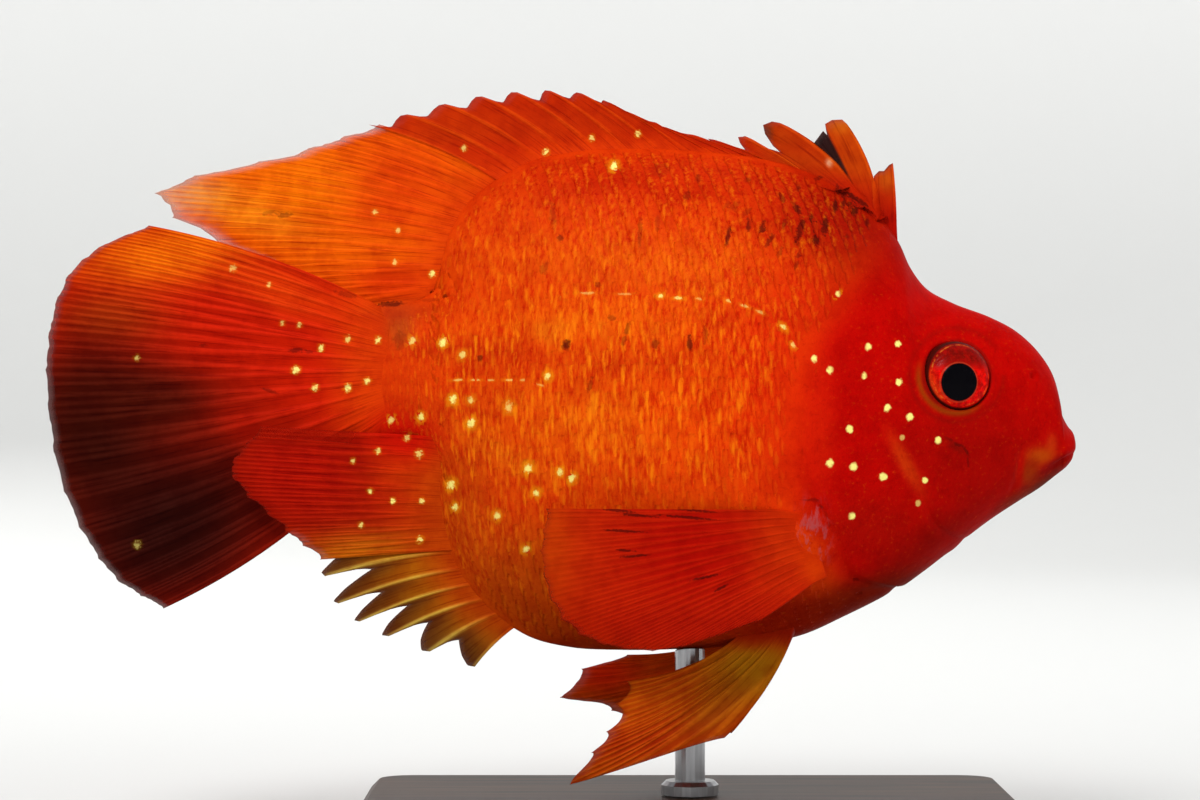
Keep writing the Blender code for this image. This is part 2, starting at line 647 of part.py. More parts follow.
def make_stand(grown):
    """A flat base with bevelled edges, and a rod with a collar that meets the belly."""
    corner = np.linspace(0, math.pi / 2, CORNER_STEPS)
    centre = (BASE_LENGTH / 2 - BASE_CORNER, BASE_WIDTH / 2 - BASE_CORNER)
    layers = [(0.0, 0.0), (0.0, BASE_HEIGHT - BASE_EDGE), (BASE_EDGE, BASE_HEIGHT)]
    points = []
    for inset, height in layers:
        for quarter in range(4):
            along = (1, -1, -1, 1)[quarter]
            across = (1, 1, -1, -1)[quarter]
            for angle in corner + quarter * math.pi / 2:
                points.append((along * centre[0] + (BASE_CORNER - inset) * math.cos(angle),
                               across * centre[1] + (BASE_CORNER - inset) * math.sin(angle), height))
    count = 4 * len(corner)
    faces = [list(range(count)), list(range(2 * count, 3 * count))]
    for ring in range(2):
        for place in range(count):
            first = ring * count + place
            second = ring * count + (place + 1) % count
            faces.append([first, second, second + count, first + count])
    base = make_object("stand_base", points, faces)
    foot = BASE_HEIGHT + GAP
    collar = foot + ROD_COLLAR_HEIGHT
    profile = [(ROD_COLLAR_RADIUS, foot), (ROD_COLLAR_RADIUS, collar - ROD_COLLAR_EDGE),
               (ROD_COLLAR_RADIUS - ROD_COLLAR_EDGE, collar), (ROD_RADIUS, collar), (ROD_RADIUS, ROD_TOP)]
    turn = 2 * math.pi / ROD_SIDES
    points = [(radius * math.cos(turn * place), radius * math.sin(turn * place), height)
              for radius, height in profile for place in range(ROD_SIDES)]
    faces = [list(range(ROD_SIDES))]
    faces.append(list(range((len(profile) - 1) * ROD_SIDES, len(profile) * ROD_SIDES)))
    for ring in range(len(profile) - 1):
        for place in range(ROD_SIDES):
            first = ring * ROD_SIDES + place
            second = ring * ROD_SIDES + (place + 1) % ROD_SIDES
            faces.append([first, second, second + ROD_SIDES, first + ROD_SIDES])
    rod = make_object("stand_rod", points, faces)
    combine(rod, "DIFFERENCE", grown)
    return {"stand_base": base, "stand_rod": rod}


def main():
    for leftover in list(bpy.data.objects):
        bpy.data.objects.remove(leftover)
    body = make_body("whole_body")
    grown = make_body("grown_body", grow=GAP)
    pieces = make_head_and_trunk(body)
    pieces.update(make_eyes(pieces["head"]))
    pieces.update(make_fins(grown))
    pieces.update(make_stand(grown))
    remove_object(body)
    remove_object(grown)
    for name, piece in pieces.items():
        finish(piece, LOOKS[name])


main()
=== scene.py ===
# Blood parrot cichlid on a plain stand: the looks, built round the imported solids.
# Shapes are worked out in millimetres, with the head to +X, the back to +Z and the right side to -Y.
import math

import bpy
import numpy as np
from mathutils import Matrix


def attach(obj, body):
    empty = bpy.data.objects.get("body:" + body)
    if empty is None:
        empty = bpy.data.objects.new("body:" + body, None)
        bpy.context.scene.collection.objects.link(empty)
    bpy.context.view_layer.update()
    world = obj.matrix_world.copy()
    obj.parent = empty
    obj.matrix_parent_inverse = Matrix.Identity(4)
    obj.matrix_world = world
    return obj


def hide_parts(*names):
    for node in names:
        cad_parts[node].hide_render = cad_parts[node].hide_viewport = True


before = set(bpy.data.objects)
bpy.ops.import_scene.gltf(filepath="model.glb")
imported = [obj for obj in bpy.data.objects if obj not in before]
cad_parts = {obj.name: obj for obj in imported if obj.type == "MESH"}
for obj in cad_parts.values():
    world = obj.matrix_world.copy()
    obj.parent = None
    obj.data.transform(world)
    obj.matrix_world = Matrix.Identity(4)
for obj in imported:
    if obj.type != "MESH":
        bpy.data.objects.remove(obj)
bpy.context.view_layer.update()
mm = 0.001
rng = np.random.default_rng(11)
print("frame loaded:", len(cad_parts), "nodes")

# The photograph's camera: level, square to the fish's right side. Marks on the fish are placed by
# photo pixels, and photoPlace() says which pixel shows a point of the fish.
photo = {"width": 1200, "height": 800, "mmPerPixel": 0.146, "distance": 500.0,
         "centreX": -13.14, "centreZ": 65.8}


def photoPlace(points, mirrored=True):
    # pixel = photo centre + (place - camera axis) * distance / depth / mm per pixel.
    # Mirrored, a point of the left side gets the place of its twin on the right.
    depth = photo["distance"] + (-np.abs(points[..., 1]) if mirrored else points[..., 1])
    scale = photo["distance"] / depth / photo["mmPerPixel"]
    across = photo["width"] / 2 + (points[..., 0] - photo["centreX"]) * scale
    down = photo["height"] / 2 - (points[..., 2] - photo["centreZ"]) * scale
    return np.stack([across, down], axis=-1)


def fromPhoto(places, y):
    # The point at depth y that the photo shows at a pixel: photoPlace() turned round.
    places = np.asarray(places, float)
    y = np.broadcast_to(np.asarray(y, float), places.shape[:-1])
    scale = photo["mmPerPixel"] * (photo["distance"] + y) / photo["distance"]
    x = photo["centreX"] + (places[..., 0] - photo["width"] / 2) * scale
    z = photo["centreZ"] + (photo["height"] / 2 - places[..., 1]) * scale
    return np.stack([x, y, z], axis=-1)


def splineAt(knots, values, at):
    # Cubic Hermite pieces through the values, with the gradients at the knots as slopes.
    knots, values, at = (np.asarray(part, float) for part in (knots, values, at))
    slopes = np.gradient(values, knots, axis=0)
    left = np.clip(np.searchsorted(knots, at, side="right") - 1, 0, len(knots) - 2)
    step = (knots[left + 1] - knots[left])[:, None]
    t = (at - knots[left])[:, None] / step
    start = (1 + 2 * t) * (1 - t) ** 2 * values[left] + t * (1 - t) ** 2 * step * slopes[left]
    end = t * t * (3 - 2 * t) * values[left + 1] - t * t * (1 - t) * step * slopes[left + 1]
    return start + end


def smoothLine(points, count):
    # That cubic through points in any number of dimensions, read at even steps of its chord length.
    points = np.asarray(points, float)
    along = np.concatenate([[0], np.cumsum(np.linalg.norm(np.diff(points, axis=0), axis=1))])
    return splineAt(along, points, np.linspace(0, along[-1], count))


def rise(low, high, value):
    # 0 up to low and 1 from high on, with 3t^2 - 2t^3 between; low may be the larger of the two.
    t = np.clip((value - low) / (high - low), 0, 1)
    return t * t * (3 - 2 * t)


def bell(value, width):
    # e to the power of minus (value / width) squared.
    return np.exp(-(value / width) ** 2)


def lineOffset(places, line, count=60):
    # Distance of each place from a line, positive to the head's side of one walked downwards in the
    # photo, and how far along the line (0 to 1) its nearest point lies.
    line = smoothLine(line, count)
    best = np.full(places.shape[:-1], 1e9)
    signed = np.zeros(places.shape[:-1])
    share = np.zeros(places.shape[:-1])
    for index in range(count - 1):
        start, step = line[index], line[index + 1] - line[index]
        offset = places - start
        t = np.clip(offset @ step / (step @ step), 0, 1)
        away = offset - t[..., None] * step
        distance = np.linalg.norm(away, axis=-1)
        side = np.where(step[1] * offset[..., 0] - step[0] * offset[..., 1] >= 0, 1, -1)
        nearer = distance < best
        best = np.where(nearer, distance, best)
        signed = np.where(nearer, side * distance, signed)
        share = np.where(nearer, (index + t) / (count - 1), share)
    return signed, share


def linear(colour):
    # sRGB from 0 to 255 to linear from 0 to 1, by the usual 2.4 power with its straight toe.
    share = np.asarray(colour, float) / 255
    return np.where(share <= 0.04045, share / 12.92, ((share + 0.055) / 1.055) ** 2.4)


def tint(shade):
    # An sRGB triple as a colour's socket takes it, with an alpha of 1.
    return (*linear(shade).tolist(), 1.0)


def sideNormals(grid):
    # Unit cross product of a grid's two directions; the second one runs round in a closed ring.
    along = np.gradient(grid, axis=0)
    around = (np.roll(grid, -1, axis=1) - np.roll(grid, 1, axis=1)) / 2
    normal = np.cross(around, along)
    return normal / np.maximum(np.linalg.norm(normal, axis=2), 1e-9)[..., None]


def ringFaces(rings, sides, poles=0):
    # Quads between rings of points that close round, numbered ring by ring. The points after them
    # are poles, each with a fan of triangles: the first closes the first ring, the second the last.
    ring = np.arange(sides)
    following = (ring + 1) % sides
    start, last = np.arange(rings - 1)[:, None] * sides, (rings - 1) * sides
    first, second = (start + ring).ravel(), (start + following).ravel()
    faces = np.stack([first, first + sides, second + sides, second], axis=1).tolist()
    fans = [(ring, following), (last + following, last + ring)]
    for pole, (one, other) in enumerate(fans[:poles]):
        faces += np.stack([np.full(sides, rings * sides + pole), one, other], axis=1).tolist()
    return faces


def meshPiece(name, points, faces, material, attributes=None):
    # One smooth object at the origin from points in millimetres. An attribute has one row per
    # point: a linear colour where it is called tone, else a vector or a number.
    mesh = bpy.data.meshes.new(name)
    mesh.from_pydata((np.asarray(points, float) * mm).tolist(), [], faces)
    for key, values in (attributes or {}).items():
        values = np.asarray(values, np.float32)
        kind, field = ("FLOAT_VECTOR", "vector") if values.ndim == 2 else ("FLOAT", "value")
        if key == "tone":
            kind, field = "FLOAT_COLOR", "color"
            values = np.column_stack([values, np.ones(len(values), np.float32)])
        mesh.attributes.new(key, kind, "POINT").data.foreach_set(field, values.ravel())
    mesh.materials.append(material)
    mesh.polygons.foreach_set("use_smooth", [True] * len(mesh.polygons))
    mesh.update()
    made = bpy.data.objects.new(name, mesh)
    bpy.context.scene.collection.objects.link(made)
    return made


def dress(piece, slot, *nodes):
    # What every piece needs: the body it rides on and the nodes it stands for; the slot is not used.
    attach(piece, "root")
    if nodes:
        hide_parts(*nodes)
    print("made", piece.name, len(piece.data.polygons), "faces")


class Value:
    # One output socket; sums, products and the like of it add Math nodes.
    def __init__(self, finish, socket):
        self.finish, self.socket = finish, socket

    def maths(self, operation, *terms):
        return self.finish.node("ShaderNodeMath", {"operation": operation}, dict(enumerate(terms)))

    def __add__(self, other):
        return self.maths("ADD", self, other)

    def __radd__(self, other):
        return self.maths("ADD", other, self)

    def __sub__(self, other):
        return self.maths("SUBTRACT", self, other)

    def __rsub__(self, other):
        return self.maths("SUBTRACT", other, self)

    def __mul__(self, other):
        return self.maths("MULTIPLY", self, other)

    def __rmul__(self, other):
        return self.maths("MULTIPLY", other, self)

    def __pow__(self, other):
        return self.maths("POWER", self, other)

    def __rpow__(self, other):
        return self.maths("POWER", other, self)

    def rise(self, low, high):
        # 0 up to low, 1 from high on and smooth between; it falls where low is the larger.
        low, high, ends = (low, high, (0.0, 1.0)) if low < high else (high, low, (1.0, 0.0))
        sockets = {0: self, 1: low, 2: high, 3: ends[0], 4: ends[1]}
        return self.finish.node("ShaderNodeMapRange", {"interpolation_type": "SMOOTHSTEP"}, sockets)

    def bell(self, centre, width):
        # 1 at centre, falling to 0 at width on both sides of it.
        offset = self - centre
        return self.maths("ABSOLUTE", offset).rise(width, 0.0)


class Finish:
    # A material under construction, with one Principled shader.
    def __init__(self, name, roughness, coat=0.0, coatRoughness=0.1, metallic=0.0, shine=0.5):
        self.material = bpy.data.materials.new(name)
        self.material.use_nodes = True
        self.nodes = self.material.node_tree.nodes
        self.links = self.material.node_tree.links
        self.surface = self.nodes["Principled BSDF"]
        self.feed(self.surface.inputs["Roughness"], roughness)
        self.feed(self.surface.inputs["Coat Weight"], coat)
        self.feed(self.surface.inputs["Coat Roughness"], coatRoughness)
        self.feed(self.surface.inputs["Metallic"], metallic)
        self.feed(self.surface.inputs["Specular IOR Level"], shine)

    def feed(self, target, value):
        # A link to the socket, or its fixed value; a fixed colour is given as an sRGB triple.
        if isinstance(value, Value):
            self.links.new(value.socket, target)
        else:
            target.default_value = tint(value) if target.type == "RGBA" else value

    def node(self, kind, settings=None, sockets=None, output=0):
        # Any node: its type, its settings, the values or links of its sockets, and one output.
        made = self.nodes.new(kind)
        for key, value in (settings or {}).items():
            if key == "stops":
                for extra in range(len(value) - 2):
                    made.color_ramp.elements.new(0.5)
                for element, (place, colour) in zip(made.color_ramp.elements, value):
                    element.position = place
                    element.color = tint(colour)
            else:
                setattr(made, key, value)
        for key, value in (sockets or {}).items():
            self.feed(made.inputs[key], value)
        return Value(self, made.outputs[output])

    def attribute(self, name, output="Fac"):
        # One of the mesh's own attributes, as a number, or as Vector or Color.
        return self.node("ShaderNodeAttribute", {"attribute_name": name}, output=output)

    def parts(self, vector):
        # A vector's three numbers.
        split = self.node("ShaderNodeSeparateXYZ", sockets={0: vector})
        outputs = split.socket.node.outputs
        return [Value(self, outputs[index]) for index in range(3)]

    def place(self, scale=(1, 1, 1), turn=(0, 0, 0)):
        # Object coordinates in millimetres, scaled and turned by degrees.
        coordinates = self.node("ShaderNodeTexCoord", output="Object")
        sockets = {"Vector": coordinates, "Scale": [part / mm for part in scale],
                   "Rotation": [math.radians(part) for part in turn]}
        return self.node("ShaderNodeMapping", {"vector_type": "POINT"}, sockets)

    def noise(self, vector, scale, detail=3.0, roughness=0.5):
        sockets = {"Vector": vector, "Scale": scale, "Detail": detail, "Roughness": roughness}
        return self.node("ShaderNodeTexNoise", {}, sockets)

    def cells(self, vector, scale):
        return self.node("ShaderNodeTexVoronoi", {}, {"Vector": vector, "Scale": scale})

    def mix(self, share, first, second, blend="MIX"):
        # The first colour where the share is 0 and the second, or their blend, where it is 1.
        settings = {"data_type": "RGBA", "blend_type": blend}
        return self.node("ShaderNodeMix", settings, {0: share, 6: first, 7: second}, output=2)

    def multiply(self, share, colour, by):
        # The colour, darkened by another where the share is high.
        return self.mix(share, colour, by, "MULTIPLY")

    def done(self, colour, height=None, strength=0.3, depth=0.0001, alpha=None):
        # The material with its colour, bump and alpha; depth is the bump's, in metres.
        self.feed(self.surface.inputs["Base Color"], colour)
        if height is not None:
            sockets = {"Strength": strength, "Distance": depth, "Height": height}
            self.feed(self.surface.inputs["Normal"], self.node("ShaderNodeBump", {}, sockets))
        if alpha is not None:
            self.feed(self.surface.inputs["Alpha"], alpha)
        return self.material


# Markings, by the photo pixel that shows each on the right side.
marks = {
    "paleShift": 9, "darkShift": 6,  # how far, about, the left side's marks lie from the right's
    # Pale spots: across, down, radius, brightness.
    "pale": [
        (814, 359, 4.2, 1), (830, 370, 4.6, 1), (868, 347, 4.2, 1), (898, 344, 4, 1), (864, 376, 4, 1),
        (899, 382, 4, 1), (887, 408, 4.6, 1), (910, 417, 4.4, 1), (850, 429, 4.6, 1), (902, 438, 3.4, 0.4),
        (938, 440, 4.4, 1), (830, 463, 4.8, 1), (853, 467, 4.8, 1), (883, 477, 4.8, 1), (925, 480, 3.8, 1),
        (918, 503, 3.6, 0.5), (852, 516, 4.4, 1), (838, 294, 3.6, 0.9), (614, 166, 4.6, 1),
        (546, 152, 4.6, 0.8), (592, 138, 4.2, 0.6), (638, 134, 4, 0.8), (464, 148, 4, 0.5),
        (432, 274, 4.4, 0.9), (269, 285, 3.6, 0.5), (282, 323, 3.6, 0.5), (299, 325, 3.8, 0.5),
        (321, 348, 4.2, 0.8), (348, 339, 4.4, 0.6), (378, 340, 4.6, 0.8), (412, 341, 4.6, 0.6),
        (443, 342, 5, 1), (462, 355, 4.2, 0.6), (296, 370, 5, 0.9), (315, 388, 4.4, 0.9),
        (348, 388, 5, 1), (367, 381, 4.4, 0.8), (453, 399, 5, 1), (471, 400, 4.2, 0.6),
        (509, 407, 5.6, 0.5), (548, 376, 4.4, 0.8), (421, 417, 4.4, 0.9), (471, 423, 5, 0.9),
        (391, 420, 4.2, 0.7), (407, 438, 4.2, 0.5), (419, 454, 5.4, 0.6), (451, 485, 5, 1),
        (528, 468, 5.4, 0.9), (560, 472, 4.2, 0.9), (572, 478, 4.6, 0.9), (536, 493, 4.4, 0.9),
        (393, 501, 4, 0.9), (422, 501, 3.8, 0.8), (455, 507, 4.2, 0.9), (497, 516, 4.4, 0.8),
        (420, 540, 4.6, 1), (526, 549, 4.2, 0.9), (353, 461, 3.6, 0.6), (378, 451, 4, 0.7),
        (370, 491, 3.6, 0.9), (361, 525, 4, 0.6), (137, 358, 4, 0.4), (137, 545, 5, 0.3),
        (375, 212, 4, 0.5), (398, 230, 4, 0.5), (395, 262, 4, 0.5), (233, 268, 5, 0.4),
    ],
    # Bright bits of the lateral line: across, down, half length, half width, slope, brightness.
    "sideLine": [
        (565, 297, 5, 2, 0, 0.3), (588, 293, 8, 1.6, 0, 0.25), (625, 294, 8, 1.4, 0, 0.2),
        (660, 296, 3.4, 2.4, 0, 0.8), (678, 298, 5, 1.9, -5, 0.6), (700, 299, 5, 1.6, -8, 0.25),
        (730, 301, 5, 1.9, -10, 0.4), (745, 306, 5, 1.8, -20, 0.35), (760, 312, 5, 1.8, -25, 0.3),
        (783, 327, 5, 2.6, -40, 0.7), (793, 345, 4, 2.6, -50, 0.5),
        (458, 380, 6, 1.4, 3, 0.4), (476, 380, 6, 1.3, 0, 0.35), (491, 380, 5, 1.3, 0, 0.3),
        (510, 380, 7, 1.3, 0, 0.35), (523, 380, 5, 1.3, 0, 0.25), (540, 385, 5, 1.4, -20, 0.25),
    ],
    # Dark marks: across, down, half length, half width, slope in degrees from level, darkness; two of them,
    # marked where they stand, are painted shade.
    "dark": [
        (728, 236, 11, 2.6, 80, 0.9), (749, 225, 7, 2.6, 78, 0.8), (762, 230, 8, 3.4, 80, 0.9),
        (770, 240, 9, 2.8, 60, 0.7), (784, 224, 6, 2.2, 80, 0.6), (797, 209, 7, 3.2, 120, 0.9),
        (800, 230, 14, 4, 75, 0.9), (813, 222, 9, 3.2, 110, 0.9), (817, 239, 8, 4.6, 80, 1),
        (825, 226, 10, 3.6, 85, 0.9), (836, 205, 8, 3.4, 80, 1), (844, 201, 7, 3, 75, 0.9),
        (855, 210, 6, 4, 85, 1), (782, 198, 7, 2.4, 115, 0.6), (798, 188, 4, 2.6, 80, 0.6),
        (819, 178, 5, 2.4, 10, 0.8), (848, 236, 3, 3, 0, 0.6), (867, 222, 5, 2.2, 80, 0.7),
        (747, 180, 4, 2.6, 20, 0.4), (734, 206, 8, 4, 30, 0.35), (727, 205, 6, 3, 60, 0.35),
        (747, 212, 7, 3, 40, 0.4), (842, 192, 8, 2.6, 150, 0.9), (853, 197, 8, 2.6, 140, 1),
        (863, 203, 7, 2.6, 140, 0.9), (780, 252, 6, 2.2, 65, 0.5), (800, 254, 6, 2.4, 50, 0.6),
        (796, 266, 5, 2.2, 60, 0.5), (838, 190, 6, 2.2, 100, 0.7), (849, 206, 6, 2.6, 70, 0.8),
        (566, 345, 6, 4.4, 80, 1), (655, 343, 5.4, 4, 70, 0.6), (690, 343, 8, 3, 95, 0.9),
        (627, 329, 8, 2.6, 70, 0.6), (624, 340, 7, 2.4, 75, 0.5), (612, 318, 4, 3, 0, 0.5),
        (590, 385, 8, 2.6, 75, 0.5), (480, 358, 3, 3, 0, 0.8), (705, 335, 9, 2.6, 88, 0.4),
        (640, 232, 16, 2.6, 88, 0.45), (658, 222, 9, 3, 85, 0.3), (553, 215, 14, 3.4, 95, 0.35),
        (687, 196, 6, 4, 80, 0.5), (698, 178, 5, 3, 60, 0.5), (660, 170, 10, 8, 0, 0.25),
        (560, 238, 4, 3, 0, 0.7), (544, 268, 8, 4, 60, 0.4), (598, 285, 3, 3, 0, 0.5),
        # (430, 300) and (391, 304) are painted shade where the soft dorsal fin's lower edge meets the
        # tail's root.
        (430, 300, 9, 2, 5, 0.3), (391, 304, 14, 3, 3, 0.9), (345, 294, 12, 3, 165, 0.45),
        (400, 340, 9, 7, 80, 0.4), (296, 350, 8, 2.6, 5, 0.7), (310, 352, 4, 2, 5, 0.5),
        (270, 391, 10, 2, 160, 0.6), (285, 215, 8, 3, 8, 0.6), (268, 213, 8, 2.4, 10, 0.4),
        (203, 345, 4, 2, 0, 0.5), (445, 296, 2.4, 2.4, 0, 0.7), (949, 439, 6, 1.6, -25, 0.45),
        (959, 445, 5, 1.7, -10, 0.6), (966, 451, 6, 1.7, -55, 0.65), (968, 462, 6, 1.5, 95, 0.45),
        (811, 500, 10, 1.5, 0, 0.6), (822, 508, 7, 1.6, -52, 0.7), (828, 521, 8, 1.5, -75, 0.4),
    ],
}


def inMark(places, entry):
    # Offset of places from a mark's centre, along and across it, in its half sizes.
    across, down, length, width, slope = entry[:5]
    turn = math.radians(slope)
    x, y = places[..., 0] - across, down - places[..., 1]
    return ((x * math.cos(turn) + y * math.sin(turn)) / length,
            (y * math.cos(turn) - x * math.sin(turn)) / width)


def softSpot(places, spot, power):
    # e to the minus (distance from the spot's centre in its half sizes) to the power given.
    return np.exp(-np.hypot(*inMark(places, spot)) ** power)


def laidOver(colour, shade, share):
    # colour * (1 - share) + shade * share.
    share = share[..., None]
    return colour * (1 - share) + share * np.asarray(shade, float)


def nearestMark(places, entries, centres=None, reach=1.15):
    # For each place its offset from the nearest mark and, within reach of it, the mark's strength.
    # Where centres are given, all the places of a row take the mark nearest to the row's centre.
    if centres is not None:
        centres = centres[:, None]
    offset = np.full((*places.shape[:-1], 3), 9.0)
    best = np.full(1, 1e9)
    for entry in entries:
        a, b = inMark(places, entry)
        distance = np.hypot(a, b) if centres is None else np.hypot(*inMark(centres, entry))
        nearer = distance < best
        best = np.where(nearer, distance, best)
        strength = entry[5] * (distance < reach) + 0 * a
        offset = np.where(nearer[..., None], np.stack([a, b, strength], axis=-1), offset)
    return offset


paleEntries = [(across, down, radius, 0.85 * radius, 70, strength)
               for across, down, radius, strength in marks["pale"]] + marks["sideLine"]


def shiftedMarks(entries, by):
    # The left side's marks: the right side's ones, each moved a little, so that the sides differ.
    moved = np.array(entries, float)
    moved[:, :2] += rng.normal(0, by, (len(moved), 2))
    return [tuple(row) for row in moved]


leftPale = shiftedMarks(paleEntries, marks["paleShift"])
leftDark = shiftedMarks(marks["dark"], marks["darkShift"])

# Broad colours of skin and scales, as soft patches: photo place, half sizes, slope, sRGB, strength. Some
# are painted shade, and one is partly painted highlight; each is marked where it stands.
bodyPaint = {
    "gain": 0.96,
    "base": (226, 64, 4),
    "head": (190, 4, 1),
    "patches": [
        (640, 180, 240, 30, 0, (200, 38, 3), 0.85), (500, 225, 70, 70, 40, (222, 64, 4), 0.6),
        (835, 230, 80, 60, 0, (158, 14, 2), 0.9), (770, 290, 60, 50, 0, (222, 58, 4), 0.6),
        (640, 262, 170, 26, 0, (232, 88, 6), 0.7), (590, 322, 110, 24, 0, (244, 104, 6), 0.65),
        (620, 364, 150, 14, 0, (212, 58, 4), 0.7), (580, 425, 120, 46, 0, (238, 98, 6), 0.7),
        (700, 430, 60, 80, 0, (244, 76, 4), 0.6), (470, 440, 60, 40, 0, (216, 66, 4), 0.6),
        (780, 400, 44, 150, 0, (222, 38, 3), 0.7), (440, 515, 60, 70, -25, (190, 66, 4), 0.8),
        # (640, 648) is painted shade along the belly; (800, 622) on the breast is partly the fish's deeper
        # red and partly painted shade.
        (520, 590, 90, 60, 0, (186, 72, 4), 0.8), (640, 648, 170, 26, 0, (150, 42, 3), 0.8),
        (800, 622, 90, 34, 0, (140, 20, 2), 0.85), (385, 360, 46, 50, 0, (216, 54, 4), 0.7),
        (400, 325, 14, 20, 0, (170, 90, 30), 0.5), (402, 311, 36, 10, 0, (184, 50, 6), 0.7),
        (402, 436, 40, 28, 0, (206, 14, 3), 0.9),
        (455, 405, 60, 14, 0, (200, 48, 4), 0.5), (470, 350, 50, 12, 0, (200, 52, 6), 0.4),
        (940, 300, 80, 30, 20, (196, 4, 2), 0.6), (965, 450, 70, 55, 0, (156, 6, 2), 0.75),
        # (930, 545) under the jaw and (880, 592) on the throat are partly the fish's deeper red and partly
        # painted shade.
        (930, 545, 90, 24, 32, (150, 8, 2), 0.8), (880, 592, 90, 18, 15, (116, 22, 3), 0.9),
        # (906, 464) is the orange stripe on the cheek ridge: partly its own colour, partly painted
        # highlight.
        (870, 525, 50, 30, 0, (160, 12, 2), 0.6), (906, 464, 34, 8, -62, (214, 70, 8), 0.7),
        (1052, 443, 6, 10, 0, (204, 62, 10), 0.7), (1041, 456, 16, 10, 0, (192, 76, 6), 0.85),
        # (1055, 464), (1040, 487) and (1016, 500) are painted shadow along the mouth and under the lower
        # jaw.
        (1030, 474, 13, 14, 0, (160, 60, 5), 0.75), (1055, 464, 20, 5, 35, (124, 4, 8), 0.7),
        (1040, 487, 36, 6, 42, (92, 26, 5), 0.85), (1016, 500, 26, 8, 38, (120, 36, 4), 0.7),
        (1020, 470, 4, 18, -5, (206, 6, 4), 0.6), (956, 447, 11, 4, -35, (120, 12, 4), 0.6),
        (822, 300, 30, 30, 0, (206, 30, 3), 0.5), (822, 430, 14, 60, 0, (218, 40, 5), 0.4),
        (550, 331, 18, 11, 0, (248, 148, 16), 0.55), (602, 328, 5, 9, 0, (248, 140, 16), 0.4),
        (592, 403, 5, 13, 4, (248, 146, 16), 0.5), (653, 334, 10, 4, 5, (248, 130, 14), 0.35),
        (571, 415, 4, 10, -8, (248, 146, 16), 0.35), (640, 446, 3, 11, -8, (248, 150, 20), 0.35),
        (612, 437, 6, 7, 0, (248, 140, 16), 0.35), (505, 455, 60, 12, -28, (238, 120, 10), 0.5),
    ],
}


def painted(places, paint, start=None):
    # The base colour, with each patch laid over it by its strength times a soft spot.
    start = np.asarray(paint["base"] if start is None else start, float)
    colour = np.broadcast_to(start, (*places.shape[:-1], 3))
    for patch in paint["patches"]:
        shade, strength = patch[5:]
        colour = laidOver(colour, shade, strength * softSpot(places, patch, 2.6))
    return colour


# The body: outlines (x, z) and half thickness (x, y) as in the solids, run on a little into the
# tail fin, with the skin a coat's depth inside them where it carries scales.
body = {
    "back": [
        (-50.5, 77.2), (-47.0, 79.2), (-43.5, 80.0), (-39.4, 80.5), (-37.2, 82.2), (-36.3, 86.2),
        (-34.8, 90.9), (-32.4, 94.6), (-28.5, 97.9), (-23.4, 100.7), (-16.8, 102.2), (-7.3, 102.6),
        (1.5, 102.2), (10.2, 101.1), (16.5, 99.4), (21.9, 96.7), (25.7, 94.0), (28.6, 91.6),
        (30.5, 88.8), (32.2, 85.1), (34.5, 82.1), (38.3, 80.0), (43.8, 77.9), (47.4, 76.0),
        (50.7, 73.0), (52.9, 69.6), (53.8, 66.3), (54.1, 64.2), (54.8, 62.6), (55.3, 61.8),
        (55.8, 61.2), (56.0, 60.4), (56.05, 59.8)],
    "belly": [
        (-50.5, 61.8), (-47.0, 60.0), (-43.5, 59.1), (-40.1, 58.5), (-38.4, 55.9), (-37.6, 51.2),
        (-36.5, 46.8), (-34.5, 42.1), (-31.4, 37.5), (-27.7, 33.9), (-23.4, 31.2), (-17.5, 29.7),
        (-10.2, 29.3), (0.0, 29.5), (8.8, 30.1), (16.1, 31.4), (22.9, 34.4), (29.2, 37.6),
        (34.2, 40.9), (39.4, 45.0), (43.9, 48.4), (48.2, 51.2), (51.2, 53.1), (53.4, 54.9),
        (54.9, 56.4), (55.7, 57.8), (56.0, 59.1), (56.05, 59.8)],
    "half": [
        (-50.5, 0.3), (-47.0, 1.5), (-43.5, 2.6), (-40.0, 3.6), (-36.0, 5.0), (-30.0, 7.6),
        (-20.0, 11.4), (-8.0, 14.6), (4.0, 16.4), (12.0, 17.0), (20.0, 16.6), (28.0, 15.2),
        (36.0, 13.3), (42.0, 11.4), (47.0, 9.3), (51.0, 7.1), (53.6, 5.3), (54.9, 3.9),
        (55.6, 2.9), (56.0, 0.9), (56.05, 0.0)],
    "widest": 0.47, "backKeel": 1.22, "bellyKeel": 0.96, "stations": 300, "sides": 288,
    "steepest": 30, "headFrom": (24, 30), "headCrowd": 1.6,  # where stations crowd together
    "coatDepth": 0.1, "skinDepth": 0.04, "scalesFrom": (6, -30),
    # Where the fins' bases run, as the outlines' points, and the wedge that the flanks form there.
    "dorsalBase": (2, 24), "analBase": (2, 16), "rearFrom": (-8, -26), "aboveFrom": (38, 8),
    "edge": 0.5, "rearWedge": 0.75, "backWedge": 1.0, "wedgeRange": 6.0,
}
